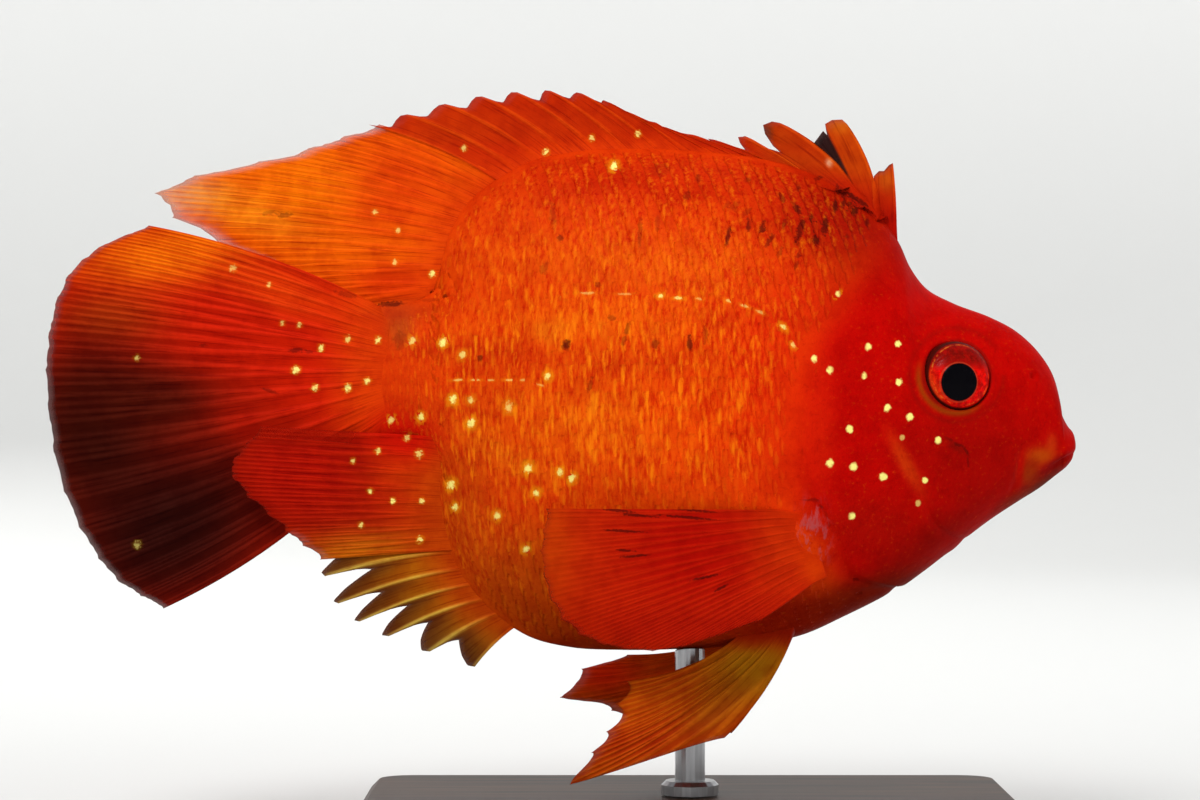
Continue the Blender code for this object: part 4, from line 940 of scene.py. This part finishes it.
# Each fin: root and tip of guide rays as in the solids, from the front or top ray to the last, and
# how deep its margin is notched, by ray.
fins = {
    "dorsalFinSpiny": {
        **spine, "node": "dorsal_fin_spiny", "rays": 16, "bow": (0.04, 0.10), "blend": (11, 5),
        "roots": [(29.2, 0, 89.0), (25.8, 0, 91.8), (23.0, 0, 94.0), (20.0, 0, 96.0), (9.1, 0, 99.6),
                  (-3.8, 0, 100.8), (-17.1, 0, 100.4), (-27.5, 0, 96.6)],
        "tips": [(29.6, 0.6, 100.1), (22.0, 0.9, 106.7), (13.0, 0.8, 106.3), (8.0, 0.6, 104.3),
                 (-4.6, 0.4, 105.8), (-15.8, 0.5, 110.6), (-30.4, 0.9, 110.2), (-47.0, 1.5, 106.1)],
        "places": [0, 1, 2, 3, 6, 9, 12, 15],
        "notches": [(0, 0), (2.99, 0), (3, 0.24), (5, 0.15), (9, 0.11), (12, 0.1), (15, 0.08)],
        # The three lappets in front, as column, root and tip in photo pixels, and bow.
        "front": [
            (0, 895, 236, 893, 163, 0.04), (0.15, 892, 233, 889, 165, 0.03),
            (0.35, 887, 228, 884, 171, 0.02), (0.6, 881, 224, 879, 171, 0),
            (0.85, 876, 220, 874, 176, 0), (0.96, 874, 218, 873, 186, 0),
            (1, 873, 218, 847, 124, 0.18), (1.1, 871, 216, 842, 119.5, 0.15),
            (1.3, 866, 212, 832, 120, 0.09), (1.48, 862, 207, 825, 124, 0.04),
            (1.55, 860, 205, 827, 135, 0.03), (1.6, 859, 204, 823, 131, 0.02),
            (1.92, 857, 202, 814, 143, 0.12), (1.97, 857, 202, 822, 152, 0.15),
            (2, 856, 201, 780, 123, 0.17), (2.1, 853, 199, 772, 121.5, 0.15),
            (2.28, 847, 196, 763, 125, 0.12), (2.42, 843, 195, 765, 134, 0.1),
            (2.6, 838, 194, 773, 146, 0.08), (2.78, 833, 194, 780, 152, 0.05),
            (2.94, 829, 193.5, 763, 147, 0.05), (3, 827, 193.2, 744.8, 136.3, 0.05)],
        "perRay": 20, "rows": 60,
    },
    "dorsalFinSoft": {
        "node": "dorsal_fin_soft", "rays": 11, "bow": (0.10, 0.0), "rows": 90, "frayed": 0.012,
        "roots": [(-26.0, 0, 96.4), (-30.6, 0, 92.8), (-33.0, 0, 89.6), (-34.4, 0, 86.0), (-36.0, 0, 80.2)],
        "tips": [(-45.6, 1.6, 106.2), (-59.3, 2.4, 101.8), (-79.0, 3.4, 96.2), (-65.5, 3.0, 86.6),
                 (-46.5, 1.8, 77.8)],
        "notches": [(0, 0.02), (10, 0.05)], "clear": (0.5, 0.9),
        # A clear part of its own: strength, between which columns and photo columns it comes up,
        # and how much less of it the rays take.
        "clearPart": (0.45, (-1, 0), (250, 160), 0.6),
    },
    "analFinSpiny": {
        **spine, "node": "anal_fin_spiny", "rays": 7, "bow": (0.14, 0.08),
        "roots": [(-23.2, 0, 33.2), (-27.0, 0, 36.6), (-30.8, 0, 40.8), (-33.8, 0, 45.6)],
        "tips": [(-31.4, -0.6, 26.9), (-43.9, -1.2, 31.4), (-51.2, -1.8, 36.2), (-54.6, -2.2, 44.6)],
        "notches": [(0, 0.24), (6, 0.22)], "perRay": 22, "rows": 64,
    },
    "analFinSoft": {
        "node": "anal_fin_soft", "rays": 9, "rise": 0.85, "blend": (16, 5), "frayed": 0.01,
        "roots": [(-33.6, 0, 44.0), (-35.0, -0.3, 48.6), (-35.8, -0.8, 53.4), (-38.4, -2.2, 60.6)],
        "tips": [(-54.0, -2.2, 42.6), (-60.6, -3.2, 48.2), (-66.9, -3.8, 55.4), (-62.6, -3.6, 62.0)],
        "notches": [(0, 0.03), (8, 0.01)], "clear": (0.2, 0.9),
        "clearPart": (0.6, (6.8, 8.0), (370, 340), 0),
    },
    "tailFin": {
        "node": "caudal_fin", "rays": 16, "bow": (0.08, -0.11), "rise": 0.7, "rows": 96,
        "roots": [(-43.8, 0, 78.7), (-43.8, 0, 74.2), (-43.8, 0, 69.5), (-43.8, 0, 64.8), (-43.8, 0, 60.4)],
        "tips": [(-78.8, -1.8, 91.2), (-87.3, -1.6, 87.3), (-92.6, -0.8, 80.3), (-94.2, 0.4, 67.4),
                 (-91.8, 1.8, 52.4), (-85.4, 2.8, 40.6), (-77.4, 3.0, 35.1)],
        "notches": [(0, 0.004), (15, 0.006)], "thick": (0.55, 0.2), "flare": (2.0, 6.5),
        "blend": (12, 3), "sunk": 0, "taper": 4, "frayed": 0.005,
        "spread": [(0, 1), (7, 1), (10, 0.62), (15, 0.66)], "clear": (0.3, 0.97),
    },
}
paired = {"mirrored": True, "sunk": 0, "blend": (5, 1), "frayed": 0.006}
pectoral = {
    **paired, "rays": 13, "rise": 0.8, "thick": (0.25, 0.12), "flare": (0.9, 3.0), "lined": 0.3,
    "roots": [(16.4, -14.7, 50.2), (17.5, -13.2, 45.2), (18.7, -11.2, 40.6)],
    "tips": [(-20.9, -20.2, 50.6), (-21.6, -19.8, 43.4), (-19.2, -18.8, 35.4), (-12.6, -17.9, 31.2),
             (-3.2, -17.0, 30.6), (9.6, -15.4, 34.6)],
    "notches": [(0, 0.01), (12, 0.02)], "clear": (0.3, 0.8),
}
pelvic = {
    **paired, "rays": 6, "bow": (-0.12, -0.12), "rise": 0.7, "perRay": 36, "thick": (0.6, 0.2),
    "roots": [(15.2, -4.6, 32.8), (11.6, -4.2, 31.9), (7.8, -3.8, 31.7)],
    "notches": [(0, 0.05), (5, 0.05)], "flare": (1.2, 4.0), "lined": 0.5,
}
pelvicTips = {
    "right": [(4.7, -8.6, 17.3), (-17.6, -11.6, 10.9), (-14.6, -11.4, 15.4), (-12.3, -10.8, 18.4),
              (-11.0, -10.2, 22.2), (-9.4, -8.6, 25.4)],
    "left": [(6.4, -9.4, 16.2), (-5.3, -12.6, 14.4), (-11.6, -13.4, 19.2), (-19.4, -13.2, 21.2),
             (-16.0, -12.0, 25.6), (-9.2, -9.6, 27.9)],
}
fins["pectoralFinRight"] = {**pectoral, "node": "pectoral_fin_right"}
fins["pectoralFinLeft"] = {**pectoral, "node": "pectoral_fin_left", "left": True}
fins["pelvicFinRight"] = {**pelvic, "node": "pelvic_fin_right", "tips": pelvicTips["right"]}
fins["pelvicFinLeft"] = {**pelvic, "node": "pelvic_fin_left", "tips": pelvicTips["left"], "left": True}

# Broad colours of the fins: the membrane as soft patches again, and the colour that its rays tend to. Bands
# run along the rays, between two columns; the tips of a fin may have a shade of their own. A little painted
# light is among them, marked where it stands.
finPaint = {
    "dorsalFinSpiny": {"base": (200, 46, 4), "ray": (222, 92, 12), "bands": [
        (1.53, 1.96, (38, 30, 34), 0.92)], "patches": [
        (560, 125, 130, 24, 10, (200, 54, 4), 0.6), (430, 140, 70, 30, 20, (208, 64, 4), 0.7),
        (850, 150, 34, 50, 0, (206, 82, 8), 0.9), (780, 145, 50, 24, -30, (192, 72, 8), 0.85),
        (840, 126, 14, 8, 0, (220, 120, 20), 0.7), (886, 180, 10, 14, 0, (212, 108, 20), 0.7),
        (600, 150, 200, 10, 0, (196, 36, 4), 0.5), (767, 132, 6, 9, 10, (96, 44, 20), 0.7),
        # The small near-white patch at (829, 163) is a painted glint.
        (882, 168, 11, 3, 30, (84, 44, 26), 0.7), (829, 163, 3, 4.5, 20, (252, 224, 190), 0.8)]},
    "dorsalFinSoft": {"base": (246, 112, 3), "ray": (218, 52, 3), "patches": [
        (400, 190, 70, 60, 0, (220, 62, 4), 0.8), (290, 190, 70, 36, 10, (252, 134, 3), 0.8),
        (190, 195, 50, 18, 0, (250, 176, 60), 0.8), (400, 285, 60, 24, 0, (222, 52, 4), 0.8),
        (250, 215, 60, 18, -15, (254, 160, 26), 0.7)]},
    # The spiny anal fin's pale yellow spines are partly their own colour and partly painted highlight.
    "analFinSpiny": {"base": (160, 96, 10), "ray": (236, 216, 96), "rayShare": 1.0,
                     "tipShade": (76, 44, 24), "patches": [
        (490, 630, 50, 40, 0, (164, 130, 22), 0.8), (420, 560, 60, 30, 0, (190, 112, 12), 0.8),
        (478, 585, 40, 50, -30, (206, 84, 8), 0.7)]},
    "analFinSoft": {"base": (160, 22, 3), "ray": (196, 36, 5), "patches": [
        (360, 556, 100, 28, 6, (190, 106, 10), 1.0), (300, 470, 60, 40, 0, (176, 12, 3), 0.6),
        (400, 480, 40, 40, 0, (196, 46, 4), 0.7), (400, 430, 50, 24, 0, (200, 16, 3), 0.8)]},
    "tailFin": {"base": (190, 26, 3), "ray": None, "patches": [
        (170, 252, 100, 34, 8, (244, 112, 3), 0.95), (280, 290, 70, 24, -20, (220, 62, 4), 0.8),
        (110, 315, 60, 26, 0, (186, 62, 4), 0.7), (90, 430, 84, 104, 0, (46, 10, 3), 0.95),
        (170, 530, 130, 90, 30, (34, 7, 4), 0.95), (150, 400, 80, 34, 0, (66, 13, 3), 0.85),
        (330, 385, 60, 60, 0, (200, 30, 3), 0.7), (270, 440, 60, 24, -35, (170, 22, 3), 0.85)]},
    "pectoralFinRight": {"base": (180, 30, 3), "ray": (196, 44, 5), "patches": [
        (690, 550, 70, 60, 0, (172, 8, 2), 0.85), (565, 550, 36, 60, 0, (196, 48, 4), 0.8),
        (780, 545, 30, 50, 0, (196, 46, 4), 0.8), (690, 625, 90, 22, 0, (156, 14, 2), 0.7),
        (550, 540, 20, 60, 0, (206, 66, 4), 0.85)]},
    "pelvicFinRight": {"base": (176, 66, 4), "ray": (210, 120, 16), "patches": [
        (750, 670, 50, 34, 0, (160, 116, 12), 0.8), (640, 740, 70, 20, 10, (176, 46, 4), 0.8),
        (630, 700, 40, 30, 0, (206, 84, 6), 0.7), (720, 706, 50, 20, 40, (140, 70, 6), 0.6)]},
}
finPaint["pectoralFinLeft"] = finPaint["pectoralFinRight"]
# The left pelvic fin is painted brighter than the right: painted light against the shade it lies in behind
# the right one.
finPaint["pelvicFinLeft"] = {"base": (220, 80, 6), "ray": (230, 60, 6), "patches": [
    (600, 685, 40, 20, 0, (236, 40, 4), 0.8), (680, 745, 60, 20, 0, (190, 100, 8), 0.8)]}
# Dark streaks along the pectoral's rays: ends in photo pixels.
streaks = [((602, 509), (633, 512)), ((620, 514), (656, 517)), ((667, 508), (713, 512)),
           ((660, 515), (717, 520)), ((605, 530), (642, 532)), ((621, 557), (648, 555)),
           ((692, 580), (721, 574)), ((715, 591), (727, 585)), ((618, 550), (634, 551))]
streakEntries = [((a[0] + b[0]) / 2, (a[1] + b[1]) / 2, math.dist(a, b) / 2 + 2, 1.5,
                  math.degrees(math.atan2(a[1] - b[1], b[0] - a[0])), 0.9) for a, b in streaks]


def finSheet(fin):
    # Each ray is a parabola from root to tip whose control point is half way, moved aside by the
    # bow's share of its length. The sheet reaches the whole ray on a ray and less between two.
    rays = fin["rays"]
    columns = np.linspace(0, rays - 1, (rays - 1) * fin["perRay"] + 1)
    front = np.array(fin["front"], float)
    columns = np.unique(np.concatenate([columns, front[:, 0]]).round(4))
    share = columns - np.floor(columns)
    notch = np.interp(columns, *np.transpose(fin["notches"]))
    notch = notch * np.where(notch < 1, rng.uniform(0.75, 1.3, rays)[np.floor(columns).astype(int)], 1)
    between = np.sin(math.pi * share) ** 0.7
    if fin["spiny"]:
        between = np.interp(share, *np.transpose(fin["lappet"]))
    frayed = np.interp(columns, np.arange(0, rays, 0.125), rng.random(8 * rays))
    reach = (1 - notch * between) * (1 - fin["frayed"] * frayed)
    ends = []
    for key in ("roots", "tips"):
        knots = fin.get("places", np.linspace(0, rays - 1, len(fin[key])))
        ends.append(splineAt(knots, fin[key], columns))
    root, tip = ends
    bow = np.interp(columns, (0, rays - 1), fin["bow"])
    if len(front) > 1:
        early = columns <= front[-1, 0]
        told = np.stack([np.interp(columns, front[:, 0], front[:, k]) for k in range(1, 6)], axis=1)
        root[early] = fromPhoto(told[early, 0:2], 0)
        tip[early] = fromPhoto(told[early, 2:4], tip[early, 1])
        bow = np.where(early, told[:, 4], bow)
    root, tip, bow = root[:, None], tip[:, None], bow[:, None, None]
    chord = tip - root
    chord = chord + fin["sunk"] * chord / np.linalg.norm(chord, axis=2)[..., None]
    root = tip - chord
    aside = np.stack([chord[..., 2], 0 * chord[..., 0], -chord[..., 0]], axis=2)
    control = root + 0.5 * chord + bow * aside
    control[..., 1] = root[..., 1] + fin["rise"] * chord[..., 1]
    t = (reach[:, None] * np.linspace(0, 1, fin["rows"])[None])[..., None]
    sheet = (1 - t) ** 2 * root + 2 * t * (1 - t) * control + t * t * tip
    normal = np.cross(np.gradient(sheet, axis=0), np.gradient(sheet, axis=1))
    normal /= np.maximum(np.linalg.norm(normal, axis=2), 1e-9)[..., None]
    return sheet, normal, t[..., 0], columns, reach


def rayRidges(fin, t, columns):
    # 1 on a ray's middle and 0 between rays. A spine stays single; a soft ray forks twice, and its
    # four branches end evenly spread, or in a closer bundle where the spread is less than 1.
    off = (columns - np.round(columns))[:, None] + 0 * t
    if fin["spiny"]:
        return bell(off, 0.12 - 0.06 * t)
    width = 0.13 - 0.08 * rise(0.2, 0.9, t)
    spread = np.interp(columns, *np.transpose(fin["spread"]))[:, None]
    fork, second = 0.25 * spread * rise(0.12, 0.62, t), 0.125 * spread * rise(0.38, 0.9, t)
    branches = [bell(off - one * fork - two * second, width) for one in (-1, 1) for two in (-1, 1)]
    return np.max(branches, axis=0)


def rayHeight(fin, ridge, travelled):
    # The ridges rise once the fin is clear of the body.
    return ridge * rise(fin["sunk"] + 1, fin["sunk"] + 7, travelled)


def finMesh(fin):
    # Half thickness: thin membrane, plus the tapering ray, plus a flare where the fin leaves the
    # body, a bell or, for a fin sunk into it, slope * log(1 + e^(start - travelled)); all of it
    # thins out over the last few per cent of the ray.
    sheet, normal, t, columns, reach = finSheet(fin)
    ridge = rayRidges(fin, t, columns)
    thick = fin["thick"][0] + (fin["thick"][1] - fin["thick"][0]) * t
    length = np.linalg.norm(np.diff(sheet, axis=1), axis=2)
    travelled = np.concatenate([np.zeros((len(sheet), 1)), np.cumsum(length, axis=1)], axis=1)
    flare, fall = fin["flare"]
    if fin["sunk"]:
        swell = flare * np.logaddexp(0, fall - travelled)
    else:
        ends = 1 - np.abs(2 * columns / columns[-1] - 1) ** fin["taper"]
        swell = flare * ends[:, None] * bell(travelled, fall)
    half = 0.1 + 0.5 * thick * rayHeight(fin, ridge, travelled) + swell
    half = (half * np.minimum(1, (1 - t / reach[:, None]) * 12 + 0.3))[..., None]
    front, rear = sheet + normal * half, sheet - normal * half
    if fin["left"]:
        front, rear = front * (1, -1, 1), rear * (1, -1, 1)
    # The points run round both faces, row by row; the first and the last row are closed by caps.
    count, rows = sheet.shape[:2]
    points = np.concatenate([front, rear[::-1]], axis=0).transpose(1, 0, 2).reshape(-1, 3)
    around, place = 2 * count, np.arange(count - 1)
    quads = np.array(ringFaces(rows, around))[:, (0, 3, 2, 1)]
    cap = np.stack([place, around - 1 - place, around - 2 - place, place + 1], axis=1)
    faces = np.concatenate([quads, cap, (cap + (rows - 1) * around)[:, ::-1]])
    i, j = count // 2, rows // 2
    facing = np.cross(front[i, j + 1] - front[i, j], front[i + 1, j] - front[i, j])
    if facing @ (front[i, j] - rear[i, j]) > 0:
        faces = faces[:, ::-1]
    layers = (ridge, t / reach[:, None], columns[:, None] + 0 * t, travelled)
    both = [np.concatenate([layer, layer[::-1]], axis=0).T.ravel() for layer in layers]
    return points, faces.tolist(), both


def clearShare(fin, places, ridge, along, column):
    # How clear the fin is: its margin, or its own clear part where that is the clearer.
    strength, start = fin["clear"]
    margin = strength * rise(start, 1.0, along)
    if "clearPart" not in fin:
        return margin
    strength, columns, pixels, onRays = fin["clearPart"]
    part = strength * rise(*columns, column) * rise(*pixels, places[..., 0]) * (1 - onRays * ridge)
    return np.maximum(margin, part)


def makeFin(name, fin, paint):
    # The membrane's patches, the darker tips, the bands and the rays, and the body's colour at last.
    points, faces, (ridge, along, column, travelled) = finMesh(fin)
    places = photoPlace(points, fin["mirrored"])
    tone = painted(places, paint)
    if "tipShade" in paint:
        tone = laidOver(tone, paint["tipShade"], 0.75 * rise(0.55, 1.0, along))
    for low, high, shade, strength in paint.get("bands", []):
        band = rise(low - 0.03, low + 0.03, column) * rise(high + 0.03, high - 0.03, column)
        tone = laidOver(tone, shade, strength * band)
    ray = np.minimum(255, 1.3 * tone + 16) if paint["ray"] is None else np.array(paint["ray"], float)
    share = paint.get("rayShare", 0.5) * rayHeight(fin, ridge, travelled)
    tone = laidOver(tone, 0.4 * tone + 0.6 * ray, share)
    tone = laidOver(tone, bodyTone(places), rise(*fin["blend"], travelled))
    dark = marks["dark"] + (streakEntries if "pectoral" in name else [])
    values = {"tone": linear(tone), "finPlace": np.stack([ridge, along, column], axis=1),
              "reach": travelled, "pale": nearestMark(places, paleEntries),
              "dark": nearestMark(places, dark), "lined": np.full(len(points), fin["lined"]),
              "clear": clearShare(fin, places, ridge, along, column)}
    dress(meshPiece(name, points, faces, finMaterial, values), "fin", fin["node"])


finShades = {"streak": (180, 90, 80), "cloud": (205, 120, 100), "beside": (190, 90, 80),
             "margin": (92, 24, 18)}


def finFinish():
    # The painted tone with streaks and clouds, darker beside the rays, and joints across the rays.
    finish = Finish("finMembrane", **flesh)
    place = finish.place()
    tone, reach = finish.attribute("tone", "Color"), finish.attribute("reach")
    ridge, along, column = finish.parts(finish.attribute("finPlace", "Vector"))
    lines = finish.node("ShaderNodeCombineXYZ", {}, {0: column * 12.0, 1: reach * 0.10, 2: 0.0})
    streak = finish.noise(lines, 1.0, 4.0, 0.65)
    cloud = finish.noise(place, 0.3, 4.0, 0.6)
    lined = finish.attribute("lined")
    beside = ridge.rise(0.5, 0.1) * along.rise(0.2, 0.6) * lined
    colour = finish.multiply(streak.rise(0.52, 0.3) * lined, tone, finShades["streak"])
    colour = finish.mix(streak.rise(0.55, 0.75) * 0.25, colour, tone)
    colour = finish.multiply(cloud.rise(0.6, 0.35) * 0.35, colour, finShades["cloud"])
    colour = finish.multiply(beside * 0.5, colour, finShades["beside"])
    colour = finish.mix(along.rise(0.97, 1.0) * 0.3, colour, finShades["margin"])
    colour = paintMarks(finish, colour, finish.noise(place, 2.6, 3.0) * 2.2 - 1.1, core=0.6, halo=0.25)
    turns = reach * 6.3
    joints = turns.maths("SINE", turns)
    height = streak * lined + joints * ridge * along.rise(0.25, 0.5) * 0.3
    return finish.done(colour, height, 0.3, 0.0002, 1.0 - finish.attribute("clear"))


finMaterial = finFinish()
for name, fin in fins.items():
    makeFin(name, {**finBasics, **fin}, finPaint[name])


standShades = {"dark": (34, 22, 16), "wood": (58, 37, 25), "light": (82, 54, 36),
               "pore": (150, 130, 120), "steel": (150, 150, 154), "steelLight": (196, 196, 198)}


def woodFinish():
    # Dark wood with its grain along X, and finer pores the same way.
    finish = Finish("standWood", roughness=0.5, coat=0.1, coatRoughness=0.25, shine=0.2)
    grain = finish.noise(finish.place(scale=(0.02, 0.35, 0.35)), 1.6, 6.0, 0.6)
    fine = finish.noise(finish.place(scale=(0.06, 1.6, 1.6)), 1.0, 4.0, 0.6)
    stops = list(zip((0.3, 0.5, 0.7), (standShades[name] for name in ("dark", "wood", "light"))))
    colour = finish.node("ShaderNodeValToRGB", {"stops": stops}, {0: grain})
    colour = finish.multiply(fine.rise(0.55, 0.3) * 0.5, colour, standShades["pore"])
    return finish.done(colour, fine, 0.2, 0.0001)


def steelFinish():
    # Brushed steel, its fine lines along Z.
    finish = Finish("standSteel", roughness=0.28, metallic=1.0)
    brushed = finish.noise(finish.place(scale=(2.5, 2.5, 0.15)), 1.0, 4.0, 0.6)
    colour = finish.mix(brushed, standShades["steel"], standShades["steelLight"])
    return finish.done(colour, brushed, 0.15, 0.00005)


for node, material, slot in (("stand_base", woodFinish(), "stand_wood"),
                             ("stand_rod", steelFinish(), "stand_steel")):
    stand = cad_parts[node]
    stand.data.materials.clear()
    stand.data.materials.append(material)
print("stand finished")

# The studio: a pale round floor whose edge sweeps up, five soft lights and the photo's camera.
studio = {
    "floorRadius": 0.85, "wallRadius": 1.7, "wallHeight": 1.3, "sides": 96, "steps": 24,
    "floor": (210, 210, 208), "wall": (244, 244, 242), "brightFrom": (0, 400),
    "world": (0.9, 0.92, 0.95, 1), "worldLight": 0.4, "fish": (-0.015, 0, 0.065), "sensor": 36.0,
}
# Each light: place, what it looks at, size, watts and whether it glints on the pieces.
lights = {
    "keyLight": ((-0.25, -0.65, 0.75), studio["fish"], 0.35, 5.4, True),
    "fillLight": ((0.6, -0.7, 0.2), studio["fish"], 0.6, 2.2, False),
    "topLight": ((0.0, 0.25, 0.95), studio["fish"], 0.9, 3.4, False),
    "backLight": ((-0.3, 0.85, 0.45), studio["fish"], 0.6, 2.2, False),
    "wallLight": ((0, 0.5, 1.0), (0, 1.7, 0.35), 1.8, 7.5, False),
}


def makeFloor():
    # A profile turned about the Z axis: flat to the floor's radius, then a quarter of an ellipse up.
    angle = np.linspace(0, math.pi / 2, studio["steps"])
    sweep = studio["wallRadius"] - studio["floorRadius"]
    radius = np.concatenate([[0.02, 0.3, 0.8], studio["floorRadius"] + sweep * np.sin(angle)])
    height = np.concatenate([[0, 0, 0], studio["wallHeight"] * (1 - np.cos(angle))])
    around = 2 * math.pi * np.arange(studio["sides"]) / studio["sides"]
    grid = np.stack([radius[:, None] * np.cos(around), radius[:, None] * np.sin(around),
                     height[:, None] + 0 * around], axis=2)
    points = np.vstack([grid.reshape(-1, 3), (0, 0, 0)]) / mm
    finish = Finish("studioFloor", roughness=0.8)
    shade = finish.parts(finish.place())[2].rise(*studio["brightFrom"])
    colour = finish.mix(shade, studio["floor"], studio["wall"])
    faces = ringFaces(len(radius), studio["sides"], poles=1)
    meshPiece("studioFloor", points, faces, finish.done(colour))


def addLight(name, place, target, size, power, glint):
    # A disk turned so that its own -Z axis points from its place to the target.
    data = bpy.data.lights.new(name, "AREA")
    data.shape = "DISK"
    data.size = size
    data.energy = power
    light = bpy.data.objects.new(name, data)
    bpy.context.scene.collection.objects.link(light)
    light.location = place
    light.visible_camera = False
    light.visible_glossy = glint
    away = np.asarray(place) - np.asarray(target)
    flat = math.hypot(away[0], away[1])
    light.rotation_euler = (math.atan2(flat, away[2]), 0, math.atan2(away[0], -away[1]))


makeFloor()
for name, settings in lights.items():
    addLight(name, *settings)
world = bpy.data.worlds.new("studioWorld")
bpy.context.scene.world = world
world.use_nodes = True
background = world.node_tree.nodes["Background"].inputs
background["Color"].default_value = studio["world"]
background["Strength"].default_value = studio["worldLight"]
bpy.context.scene.view_settings.view_transform = "Standard"

camera = bpy.data.objects.new("photoCamera", bpy.data.cameras.new("photoCamera"))
bpy.context.scene.collection.objects.link(camera)
bpy.context.scene.camera = camera
camera.location = (photo["centreX"] * mm, -photo["distance"] * mm, photo["centreZ"] * mm)
camera.rotation_euler = (math.pi / 2, 0, 0)
camera.data.sensor_width = studio["sensor"]
camera.data.lens = studio["sensor"] * photo["distance"] / (photo["width"] * photo["mmPerPixel"])
camera.data.clip_start = 0.01
camera.data.clip_end = 50.0
print("studio made with", len(lights), "lights")
